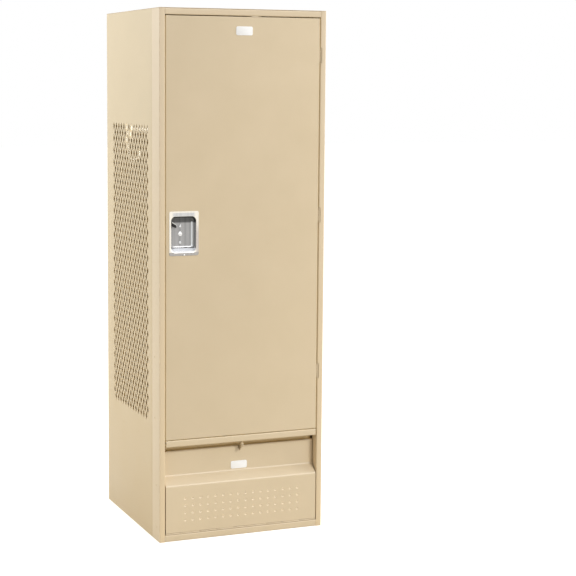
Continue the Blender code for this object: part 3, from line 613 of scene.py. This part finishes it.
def white_label():
    """Bare white label stock with a faint tooth."""
    finish = Finish("white_label")
    tooth = finish.noise(1500, 2, 0.5)
    drift = finish.noise(40, 2, 0.5)
    return finish.surface({
        "Base Color": finish.blend(finish.limits(drift, 0.3, 0.7, 0.0, 1.0), from_screen(251, 251, 250),
                                   from_screen(254, 254, 254)),
        "Roughness": finish.limits(tooth, 0.3, 0.7, 0.34, 0.42),
        "Normal": finish.relief(tooth * 0.000006),
    })


# A paler tan painted as light on the folds inside the door's gap
pale_gap_light = (253, 238, 202)
tan = tan_powder_coat("tan_powder_coat", (217, 198, 166), (213, 194, 161), None, pale_gap_light)
# The frame and side coats take a painted shade towards the floor
frame_tan = tan_powder_coat("frame_powder_coat", (225, 206, 176), (221, 202, 171), (220, 198, 161), pale_gap_light)
side_tan = tan_powder_coat("side_powder_coat", (216, 197, 161), (212, 193, 156), (208, 183, 137))
# A lighter, yellower tan painted on the strip behind the slot as light there
slot_painted_light = tan_powder_coat("slot_powder_coat", (238, 212, 158), (232, 205, 150))
stainless = brushed_stainless()
zinc = bright_zinc()
plated = plated_steel()
polished = polished_steel()
painted_highlight_tan = highlight_tan_coat()
black = blackened_steel()
white = white_label()


def dress(piece, body, finish, *stands_for):
    """Give a piece its finish, its body and the nodes that it stands for."""
    leave_edit()
    piece.data.materials.clear()
    piece.data.materials.append(finish)
    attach(piece, body)
    if stands_for:
        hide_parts(*stands_for)
    return piece


def refined(node, body, finish, edge, shade_angle=35):
    """A node's own shape with its facets merged, its edges eased and its round faces smooth."""
    piece = nodes[node].copy()
    piece.data = nodes[node].data.copy()
    piece.parent = None
    piece.matrix_world = Matrix()
    bpy.context.scene.collection.objects.link(piece)
    named(piece, node + "_eased")
    activate(piece)
    bpy.ops.object.mode_set(mode="EDIT")
    bpy.ops.mesh.select_all(action="SELECT")
    bpy.ops.mesh.remove_doubles(threshold=close)
    bpy.ops.mesh.dissolve_limited(angle_limit=radians(1))
    leave_edit()
    round_edges(piece, edge, 2, 50)
    smooth(piece, shade_angle)
    return dress(piece, body, finish, node)


# Camera
def add_camera():
    """The camera at the photograph's angle."""
    ahead = Vector((sin(camera_yaw) * cos(camera_pitch), cos(camera_yaw) * cos(camera_pitch),
                    sin(camera_pitch)))
    level = Vector((cos(camera_yaw), -sin(camera_yaw), 0))
    upward = level.cross(ahead)
    right = level * cos(camera_roll) + upward * sin(camera_roll)
    up = upward * cos(camera_roll) - level * sin(camera_roll)
    data = bpy.data.cameras.new("photo_camera")
    data.sensor_width = sensor_width
    data.lens = focal_pixels / photo_size * sensor_width
    data.shift_x = (photo_size / 2 - centre_across) / photo_size
    data.shift_y = (centre_down - photo_size / 2) / photo_size
    camera = bpy.data.objects.new("photo_camera", data)
    turn = Matrix((right, up, -ahead)).transposed().to_4x4()
    camera.matrix_world = Matrix.Translation(camera_place) @ turn
    bpy.context.scene.collection.objects.link(camera)
    bpy.context.scene.camera = camera


# Front frame
def front_posts():
    """The two channel posts, the right one open at each hinge barrel."""
    for side, name in ((-1, "left_front_post"), (1, "right_front_post")):
        outline = [
            (side * opening_half, jamb_back),
            (side * opening_half, front_y),
            (side * half_width, front_y),
            (side * half_width, post_leg_end),
        ]
        post = folded(name + "_sheet", outline, "Z", 0, under_top, frame_wall, bend, (-side, 0, 0))
        if side > 0:
            for hinge in ("bottom_hinge", "middle_hinge", "top_hinge"):
                low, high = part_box(hinge + "_pin")
                notch = add_block("notch", (opening_half - overrun, front_y - overrun, low[2] - barrel_room),
                                  (barrel_right, barrel_back, high[2] + barrel_room))
                cut(post, notch)
        smooth(post)
        dress(post, "cabinet", frame_tan, name)


def rails():
    """Top, cross and bottom rails, each a channel."""
    between = opening_half - seat_gap
    rows = (
        ("top_rail", under_top - top_rail_height, under_top, between),
        ("cross_rail", cross_rail_bottom, cross_rail_top, cross_rail_half),
        ("bottom_rail", 0, bottom_rail_height, between),
    )
    for name, low, high, half in rows:
        outline = [
            (front_y + rail_depth, high),
            (front_y, high),
            (front_y, low),
            (front_y + rail_lip, low),
        ]
        rail = folded(name + "_sheet", outline, "X", -half, half, frame_wall, rail_bend, (0, 0, 1), 7)
        smooth(rail)
        dress(rail, "cabinet", frame_tan if name == "top_rail" else tan, name)


# Sides
def side_sheets():
    """The side sheets: joggled behind the post, folded round the back, punched with diamonds."""
    tucked = half_width - frame_wall - seat_gap
    outline = [
        (-tucked, seam_y - lap),
        (-tucked, seam_y),
        (-half_width, seam_y + joggle),
        (-half_width, back_y),
        (-half_width + back_flange, back_y),
    ]
    sheet = folded("left_side_sheet", outline, "Z", 0, under_top, frame_wall, bend, (-1, 0, 0))
    for shifted in (0, 1):
        middle = (-half_width, first_column + shifted * pitch_along / 2,
                  first_row + (1 - shifted) * pitch_up / 2)
        leave_edit()
        bpy.ops.mesh.primitive_cylinder_add(vertices=4, radius=1, depth=1, location=middle,
                                            rotation=(0, pi / 2, 0))
        punch = named(bpy.context.object, "diamond_punch")
        punch.scale = (diamond_tall / 2, diamond_wide / 2, 4 * frame_wall)
        settle(punch)
        row(punch, diamond_columns - shifted, (0, pitch_along, 0))
        row(punch, diamond_rows, (0, 0, pitch_up))
        cut(sheet, punch)
    pick(sheet, "VERT", lambda vert: True)
    bpy.ops.mesh.remove_doubles(threshold=close)
    leave_edit()
    smooth(sheet)
    other = mirror_copy(sheet, "right_side_sheet")
    smooth(other)
    dress(sheet, "cabinet", side_tan, "left_side_panel")
    dress(other, "cabinet", side_tan, "right_side_panel")


rivet_radius = 0.0038
rivet_rim = 0.0004
rivet_rise = 0.0002


def side_rivets():
    """Low rivet heads that hold the floor, the shelf's ends and the posts' legs to the side sheets."""
    places = (
        (0.1110, 0.3418), (-0.0621, 0.3416), (-0.2524, 0.4284), (-0.2530, 0.6418),
        (0.2027, 0.0144), (0.0117, 0.0144), (-0.2732, 0.0482), (-0.2681, 0.1958),
    )
    heads = None
    for y, z in places:
        seat = -half_width - 0.0001
        head = add_rod("left_side_rivets", (seat, y, z), rivet_radius, rivet_rim, "X", 20)
        pick(head, "FACE", lambda face: face.normal.x < -0.9)
        centre = Vector((seat - rivet_rim / 2, y, z))
        for narrower in (0.82, 0.6):
            extrude((-rivet_rise, 0, 0))
            centre = centre + Vector((-rivet_rise, 0, 0))
            bpy.ops.transform.resize(value=(1, narrower, narrower), center_override=centre)
        leave_edit()
        if heads is not None:
            activate(heads)
            head.select_set(True)
            bpy.ops.object.join()
        else:
            heads = head
    smooth(heads, 60)
    others = mirror_copy(heads, "right_side_rivets")
    smooth(others, 60)
    dress(heads, "cabinet", side_tan)
    dress(others, "cabinet", side_tan)


# Door
def upright_edges(axis):
    """A test for edges that run along one axis."""
    def test(edge):
        run = edge.verts[0].co - edge.verts[1].co
        others = [abs(run[other]) for other in range(3) if other != axis]
        return max(others) < close
    return test


def rounded_plate(name, low, high, corner, steps, axis):
    """A block whose four edges along one axis are rounded."""
    piece = add_block(name, low, high)
    pick(piece, "EDGE", upright_edges(axis))
    bpy.ops.mesh.bevel(offset=corner, segments=steps, affect="EDGES")
    leave_edit()
    return piece


def door_pan():
    """The door's pan with its folded sides, the opening for the cup and the hook notches."""
    door = add_block("door_pan", door_low, door_high)
    pick(door, "FACE", lambda face: face.normal.y > 0.9)
    bpy.ops.mesh.delete(type="FACE")
    leave_edit()
    round_edges(door, bend, 5)
    give_wall(door, door_wall)
    room = cup_wall + seat_gap
    opening = rounded_plate("opening", (recess_left - room, door_low.y - overrun, recess_bottom - room),
                            (recess_right + room, door_low.y + recess_depth, recess_top + room),
                            recess_corner + room, 8, 1)
    cut(door, opening)
    for hook in ("bottom_frame_hook", "middle_frame_hook", "top_frame_hook"):
        low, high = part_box(hook)
        notch = add_block("notch", (door_low.x - overrun, low[1] - hook_room, low[2] - hook_room),
                          (door_low.x + door_wall + seat_gap, door_high.y + overrun, high[2] + hook_room))
        cut(door, notch)
    smooth(door)
    dress(door, "door", tan, "door_panel")


def rounded_ring(name, left, right, bottom, top, y, corner, steps):
    """A closed ring of edges: a plane with its corners rounded and its face taken away."""
    leave_edit()
    bpy.ops.mesh.primitive_plane_add(size=1, location=((left + right) / 2, y, (bottom + top) / 2),
                                     rotation=(pi / 2, 0, 0))
    ring = named(bpy.context.object, name)
    ring.scale = (right - left, top - bottom, 1)
    settle(ring)
    pick(ring, "VERT", lambda vert: True)
    bpy.ops.mesh.bevel(offset=corner, segments=steps, affect="VERTICES")
    bpy.ops.mesh.select_all(action="SELECT")
    bpy.ops.mesh.delete(type="ONLY_FACE")
    leave_edit()
    return ring


slot_front = -0.2958
slot_back = -0.2895
slot_overcut = 0.0015
slot_foot = 0.006
slot_head = 0.004


def handle_cup():
    """The drawn cup: a flat rim bridged to its mouth, walls drawn back, a sloped floor and a flat back."""
    rim_y = cup_low.y
    steps = 8
    cup = rounded_ring("drawn_cup", cup_low.x, cup_high.x, cup_low.z + rim_trim, cup_high.z, rim_y,
                       cup_corner, steps)
    mouth = rounded_ring("cup_mouth", recess_left, recess_right, recess_bottom, recess_top, rim_y,
                         recess_corner, steps)
    activate(cup)
    mouth.select_set(True)
    bpy.ops.object.join()
    bpy.ops.object.mode_set(mode="EDIT")
    bpy.ops.mesh.select_mode(type="EDGE")
    bpy.ops.mesh.select_all(action="SELECT")
    bpy.ops.mesh.bridge_edge_loops()
    leave_edit()

    def on_mouth(edge):
        for vert in edge.verts:
            inside = recess_left - close < vert.co.x < recess_right + close
            level = recess_bottom - close < vert.co.z < recess_top + close
            if not (inside and level):
                return False
        return True

    pick(cup, "EDGE", on_mouth)
    extrude((0, recess_depth, 0))
    old_height = recess_top - recess_bottom
    old_width = recess_right - recess_left
    new_bottom = recess_bottom + recess_slope
    new_top = recess_top - recess_draft
    centre = Vector(((recess_left + recess_right) / 2, rim_y + recess_depth,
                     (recess_top + recess_bottom) / 2))
    bpy.ops.transform.resize(value=((old_width - 2 * recess_draft) / old_width, 1,
                                    (new_top - new_bottom) / old_height), center_override=centre)
    bpy.ops.transform.translate(value=(0, 0, (new_top + new_bottom) / 2 - centre.z))
    bpy.ops.mesh.edge_face_add()
    bpy.ops.mesh.select_all(action="SELECT")
    bpy.ops.mesh.normals_make_consistent(inside=False)
    shape = bmesh.from_edit_mesh(cup.data)
    back = max(shape.faces, key=lambda face: face.calc_area())
    if back.normal.y > 0:
        bpy.ops.mesh.flip_normals()
    pick(cup, "EDGE", lambda edge: min(vert.co.y for vert in edge.verts) > rim_y + recess_depth - close)
    bpy.ops.mesh.bevel(offset=cup_fillet, segments=6, affect="EDGES")
    pick(cup, "EDGE", lambda edge: edge.calc_face_angle(0) > radians(28) and on_mouth(edge)
         and max(vert.co.y for vert in edge.verts) < rim_y + close)
    bpy.ops.mesh.bevel(offset=cup_lip, segments=5, affect="EDGES")
    leave_edit()
    give_wall(cup, cup_wall)
    low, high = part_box("lift_trigger")
    slot = add_block("slot", (recess_left - slot_overcut, slot_front, low[2] + slot_foot),
                     (recess_left + recess_draft + seat_gap, slot_back, high[2] + slot_head))
    cut(cup, slot)
    smooth(cup, 40)
    dress(cup, "door", stainless, "handle_cup")


def domed_head(name, middle, radius, back, rim, rise):
    """A round head on a face that looks towards -Y: an upright rim, then rings drawn up to a low dome."""
    head = add_rod(name, (middle.x, back - rim / 2, middle.z), radius, rim, "Y", 32)
    pick(head, "FACE", lambda face: face.normal.y < -0.9)
    centre = Vector((middle.x, back - rim, middle.z))
    for narrower, share in ((0.84, 0.5), (0.72, 0.3), (0.5, 0.15), (0.3, 0.05)):
        step = Vector((0, -rise * share, 0))
        extrude(step)
        centre = centre + step
        bpy.ops.transform.resize(value=(narrower, 1, narrower), center_override=centre)
    leave_edit()
    smooth(head, 60)
    return head


screw_above = 0.0264
screw_below = 0.0294
rim_screw_x = -0.2164
rim_screw_z = 0.997


def lock_cover():
    """The button over the lock hole, the screw heads above and below it, and the one low on the rim."""
    low, high = (Vector(corner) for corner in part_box("lock_hole_cover"))
    middle = (low + high) / 2
    thick = high.y - low.y
    cover = domed_head("lock_button", middle, (high.x - low.x) / 2, high.y, thick * 0.3, thick * 0.7)
    dress(cover, "door", polished, "lock_hole_cover")
    seat = high.y + seat_gap
    heads = (
        ("upper_cup_screw", (middle.x, 0, middle.z + screw_above), seat, 0.0041),
        ("lower_cup_screw", (middle.x, 0, middle.z - screw_below), seat, 0.0044),
        ("rim_screw", (rim_screw_x, 0, rim_screw_z), cup_low.y, 0.0028),
    )
    for name, place, back, radius in heads:
        head = domed_head(name, Vector(place), radius, back, 0.0004, 0.0009)
        dress(head, "door", polished)


def drawn_down(name, low, high, steps):
    """A block whose right face is drawn out and down in steps, each with its squash."""
    piece = add_block(name, low, high)
    middle = Vector((high[0], (low[1] + high[1]) / 2, (low[2] + high[2]) / 2))
    pick(piece, "FACE", lambda face: face.normal.x > 0.9)
    for along, down, squash in steps:
        extrude((along, 0, -down))
        middle = middle + Vector((along, 0, -down))
        bpy.ops.transform.resize(value=(1, 1, squash), center_override=middle)
    leave_edit()
    return piece


nose_setback = 0.004
nose_below = 0.0015
nose_root = 0.003
nose_thick = 0.0115
nose_round = 0.0012
cap_start = 0.0035
cap_root = 0.0055
cap_sunk = 0.0015
cap_proud = 0.0022
cap_round = 0.0005
arm_front = -0.29475
arm_back = -0.29125
arm_low = 1.0872
arm_high = 1.0985
arm_overlap = 0.001
arm_round = 0.0006


def lift():
    """The finger lift: a dark nose with a bright cap along its top, on an arm through the cup's wall."""
    low, high = (Vector(corner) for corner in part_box("lift_trigger"))
    root = recess_left + recess_draft + seat_gap
    front = low.y + nose_setback
    top = high.z - nose_below
    nose = drawn_down("finger_lift", (root, front, top - nose_thick), (root + nose_root, high.y, top),
                      ((0.005, 0.0028, 1.02), (0.006, 0.0032, 0.96), (0.004, 0.002, 0.78)))
    round_edges(nose, nose_round, 4)
    smooth(nose, 40)
    dress(nose, "latch", black, "lift_trigger")
    cap = drawn_down("finger_lift_cap", (root + cap_start, front, top - cap_sunk),
                     (root + cap_root, high.y, top + cap_proud),
                     ((0.0025, 0.00215, 0.7), (0.006, 0.00355, 0.885), (0.004, 0.00345, 0.78)))
    round_edges(cap, cap_round, 3)
    smooth(cap, 40)
    dress(cap, "latch", zinc)
    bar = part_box("lock_bar")[1][0] + seat_gap
    arm = add_block("finger_lift_arm", (bar, arm_front, arm_low), (root + arm_overlap, arm_back, arm_high))
    round_edges(arm, arm_round, 3)
    smooth(arm, 40)
    dress(arm, "latch", black)


# Drop-front
vent_left = -0.2115
vent_low = 0.0715
vent_pitch_along = 0.0282
vent_pitch_up = 0.0255
vent_radius = 0.0046
vent_columns = 16
vent_rows = 4
vent_wall = 0.0008
face_top = 0.195
ledge_top = 0.2245
recess_plane = -0.2708
hem_depth = 0.012
hem_drop = 0.009
staple_room = 0.001
staple_notch_drop = 0.0115
strip_half = 0.2795
strip_top = 0.35
strip_bend = 0.33
strip_step = 0.322
strip_foot = 0.296
plates_back = -0.28
staple_top = 0.328
staple_raise = 0.002
plates_raise = 0.006


def vent_dimples():
    """The pressed rims of the small round vents: a ring drawn in and narrowed, walled and repeated."""
    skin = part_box("drop_front")[0][1]
    leave_edit()
    centre = Vector((vent_left, skin, vent_low))
    bpy.ops.mesh.primitive_circle_add(vertices=20, radius=vent_radius + 0.0001, fill_type="NOTHING",
                                      location=centre, rotation=(pi / 2, 0, 0))
    dimple = named(bpy.context.object, "vent_dimples")
    settle(dimple)
    pick(dimple, "EDGE", lambda edge: True)
    for inward, narrower in ((0.0003, 0.9), (0.0008, 0.78), (0.0006, 0.7), (0.0002, 0.45)):
        extrude((0, inward, 0))
        centre = centre + Vector((0, inward, 0))
        bpy.ops.transform.resize(value=(narrower, 1, narrower), center_override=centre)
    bpy.ops.mesh.select_all(action="SELECT")
    bpy.ops.mesh.normals_make_consistent(inside=False)
    shape = bmesh.from_edit_mesh(dimple.data)
    if sum(face.normal.y for face in shape.faces) > 0:
        bpy.ops.mesh.flip_normals()
    leave_edit()
    give_wall(dimple, vent_wall)
    row(dimple, vent_columns, (vent_pitch_along, 0, 0))
    row(dimple, vent_rows, (0, 0, vent_pitch_up))
    smooth(dimple, 50)
    # The vents' rims take the paler tan, a painted highlight
    dress(dimple, "drop_front", painted_highlight_tan)


def stop_strip():
    """The joggled strip behind the slot that the drop-front's hem closes against."""
    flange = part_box("compartment_floor")[0][1] + panel_wall + seat_gap
    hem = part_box("drop_front")[1][1] + panel_wall + 0.0006
    outline = [
        (flange, strip_top),
        (flange, strip_bend),
        (hem, strip_step),
        (hem, strip_foot),
    ]
    strip = folded("drop_front_stop", outline, "X", -strip_half, strip_half, panel_wall, bend, (0, -1, 0))
    smooth(strip)
    # Painted light: the strip behind the slot takes a lighter tan
    dress(strip, "cabinet", slot_painted_light)


def padlock_pair():
    """The staple, carried up to the rail, and the eye beside it, both short with their holes in line."""
    for node, body in (("padlock_staple", "cabinet"), ("padlock_eye", "drop_front")):
        piece = refined(node, body, tan, plate_edge)
        if pick(piece, "VERT", lambda vert: vert.co.z > staple_top):
            bpy.ops.transform.translate(value=(0, 0, staple_raise))
        pick(piece, "VERT", lambda vert: vert.co.y < plates_back and vert.co.z < staple_top)
        bpy.ops.transform.translate(value=(0, 0, plates_raise))
        leave_edit()


def drop_front_sheet():
    """The formed drop-front: flat lower face with round holes, sloped ledge, recessed upper part, hem."""
    low, high = (Vector(corner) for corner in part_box("drop_front"))
    skin = low.y
    hem = recess_plane + hem_depth
    outline = [
        (skin, low.z),
        (skin, face_top),
        (recess_plane, ledge_top),
        (recess_plane, high.z),
        (hem, high.z),
        (hem, high.z - hem_drop),
    ]
    sheet = folded("drop_front_sheet", outline, "X", low.x, high.x, frame_wall, ledge_bend, (0, -1, 0), 9)
    holes = add_rod("hole_punch", (vent_left, skin, vent_low), vent_radius, 0.02, "Y", 20)
    row(holes, vent_columns, (vent_pitch_along, 0, 0))
    row(holes, vent_rows, (0, 0, vent_pitch_up))
    cut(sheet, holes)
    staple_low, staple_high = (Vector(corner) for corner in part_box("padlock_staple"))
    notch = add_block("notch",
                      (staple_low.x - staple_room, recess_plane - overrun, high.z - staple_notch_drop),
                      (staple_high.x + staple_room, hem + overrun, high.z + overrun))
    cut(sheet, notch)
    smooth(sheet)
    dress(sheet, "drop_front", tan, "drop_front")


plate_corner = 0.0055
plate_ease = 0.00025
lower_shorter = 0.0025
pad_left = 0.0255
pad_right = 0.0495
pad_setback = 0.0001
pad_over_door = 0.0004
pad_corner = 0.0009


def label_plates():
    """The two bare plates, corners rounded and edges eased."""
    for node, body, shorter in (("upper_number_plate", "door", 0),
                                ("lower_number_plate", "drop_front", lower_shorter)):
        low, high = (Vector(corner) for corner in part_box(node))
        high.z -= shorter
        plate = rounded_plate(node + "_blank", low, high, plate_corner, 8, 1)
        round_edges(plate, plate_ease, 2, 50)
        smooth(plate)
        dress(plate, body, white, node)


def stop_pad():
    """The pad on the front of the door's stop, in the gap above the door, painted pale as a highlight."""
    low = Vector((pad_left, front_y + pad_setback, door_high.z + pad_over_door))
    high = Vector((pad_right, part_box("door_stop")[0][1], under_top - top_rail_height - thin_edge))
    pad = rounded_plate("door_stop_pad", low, high, pad_corner, 4, 1)
    round_edges(pad, thin_edge, 2, 50)
    smooth(pad)
    dress(pad, "cabinet", painted_highlight_tan)


# Floor, light and background
floor_size = 60
floor_glow = 0.72
surround_light = 0.4
soft_size = 2.2
aim_point = Vector((0, 0, 1.0))


def looked_at(finish):
    """1 for what the camera sees, straight or by way of metal or glass."""
    seen = finish.node("ShaderNodeLightPath", {}, {}, "Is Camera Ray")
    mirrored = finish.node("ShaderNodeLightPath", {}, {}, "Is Glossy Ray")
    through = finish.node("ShaderNodeLightPath", {}, {}, "Is Transmission Ray")
    return finish.limits(seen + mirrored + through, 0.0, 1.0, 0.0, 1.0)


def studio():
    """A white floor that keeps the shadow, a white surround and soft lamps."""
    leave_edit()
    bpy.ops.mesh.primitive_plane_add(size=floor_size, location=(0, 0, 0))
    floor = named(bpy.context.object, "studio_floor")
    finish = Finish("studio_floor_white")
    seen = looked_at(finish)
    grain = finish.noise(40, 2, 0.5)
    paper = finish.limits(grain, 0.3, 0.7, 0.59, 0.62)
    finish.surface({
        "Base Color": finish.blend(paper, (0, 0, 0, 1), (1, 0.94, 0.82, 1)),
        "Roughness": 0.9,
        "Specular IOR Level": 0.1,
        "Emission Color": finish.blend(seen, (0, 0, 0, 1), (1, 1, 1, 1)),
        "Emission Strength": floor_glow,
    })
    floor.data.materials.append(finish.owner)

    world = bpy.data.worlds.new("studio")
    bpy.context.scene.world = world
    surround = Finish("studio", world)
    back = surround.tree.nodes["Background"]
    back.inputs["Color"].default_value = (1, 1, 1, 1)
    strength = surround.limits(looked_at(surround), 0.0, 1.0, surround_light, 1.0)
    surround.feed(back.inputs["Strength"], strength)

    suns = (
        ("high_front_light", (0.3, -0.75, 0.6), 1.45, 12),
        ("overhead_light", (0.35, -0.16, 0.93), 0.2, 26),
    )
    for name, towards, energy, spread in suns:
        sun = bpy.data.lights.new(name, "SUN")
        sun.energy = energy
        sun.angle = radians(spread)
        lamp = bpy.data.objects.new(name, sun)
        lamp.rotation_euler = Vector(towards).to_track_quat("Z", "Y").to_euler()
        bpy.context.scene.collection.objects.link(lamp)
    softs = (
        ("left_soft_light", (-3.4, 2.2, 3.0), 120, (0.97, 0.99, 1.0)),
        ("right_soft_light", (3.6, -0.45, 2.4), 115, (1.0, 1.0, 0.99)),
    )
    for name, place, energy, colour in softs:
        soft = bpy.data.lights.new(name, "AREA")
        soft.size = soft_size
        soft.energy = energy
        soft.color = colour
        lamp = bpy.data.objects.new(name, soft)
        lamp.location = place
        aim = aim_point - lamp.location
        lamp.rotation_euler = aim.to_track_quat("-Z", "Y").to_euler()
        bpy.context.scene.collection.objects.link(lamp)
    bpy.context.scene.view_settings.view_transform = "Standard"


def rod_light(pieces):
    """A lamp for the plated rod and hooks alone, which shine out through the diamonds."""
    sun = bpy.data.lights.new("rod_light", "SUN")
    sun.energy = 5
    sun.color = (1.0, 0.96, 0.88)
    sun.angle = radians(8)
    lamp = bpy.data.objects.new("rod_light", sun)
    lamp.rotation_euler = Vector((-0.62, -0.7, 0.35)).to_track_quat("Z", "Y").to_euler()
    lamp.light_linking.receiver_collection = pieces
    lamp.light_linking.blocker_collection = pieces
    bpy.context.scene.collection.objects.link(lamp)


add_camera()
studio()
front_posts()
rails()
side_sheets()
side_rivets()
door_pan()
handle_cup()
lock_cover()
lift()
drop_front_sheet()
vent_dimples()
stop_strip()
padlock_pair()
label_plates()
stop_pad()

# Hardware that keeps the CAD's shape, with eased edges
plated_pieces = bpy.data.collections.new("plated_pieces")
for node in ("coat_rod", "left_rod_bracket", "right_rod_bracket", "left_side_hook", "right_side_hook"):
    plated_pieces.objects.link(refined(node, "cabinet", plated, thin_edge))
rod_light(plated_pieces)
for node, body in (
    ("bottom_frame_hook", "cabinet"), ("middle_frame_hook", "cabinet"), ("top_frame_hook", "cabinet"),
    ("lower_bar_guide", "door"), ("upper_bar_guide", "door"), ("lock_bar", "latch"),
):
    refined(node, body, zinc, thin_edge)
for hinge in ("bottom_hinge", "middle_hinge", "top_hinge"):
    refined(hinge + "_post_leaf", "cabinet", tan, thin_edge)
    refined(hinge + "_door_leaf", "door", tan, thin_edge)
    refined(hinge + "_pin", "cabinet", tan, thin_edge)
refined("drop_hinge_rail_leaf", "cabinet", tan, thin_edge)
refined("drop_hinge_pin", "cabinet", tan, thin_edge)
refined("drop_hinge_front_leaf", "drop_front", tan, thin_edge)
refined("door_stop", "cabinet", tan, plate_edge)

# Nodes that stay as they are take the paint
for name in ("back_panel", "top_panel", "floor_pan", "compartment_floor", "upper_shelf", "door_stiffener",
             "drop_front_left_gusset", "drop_front_right_gusset"):
    for slot in nodes[name].material_slots:
        slot.material = tan
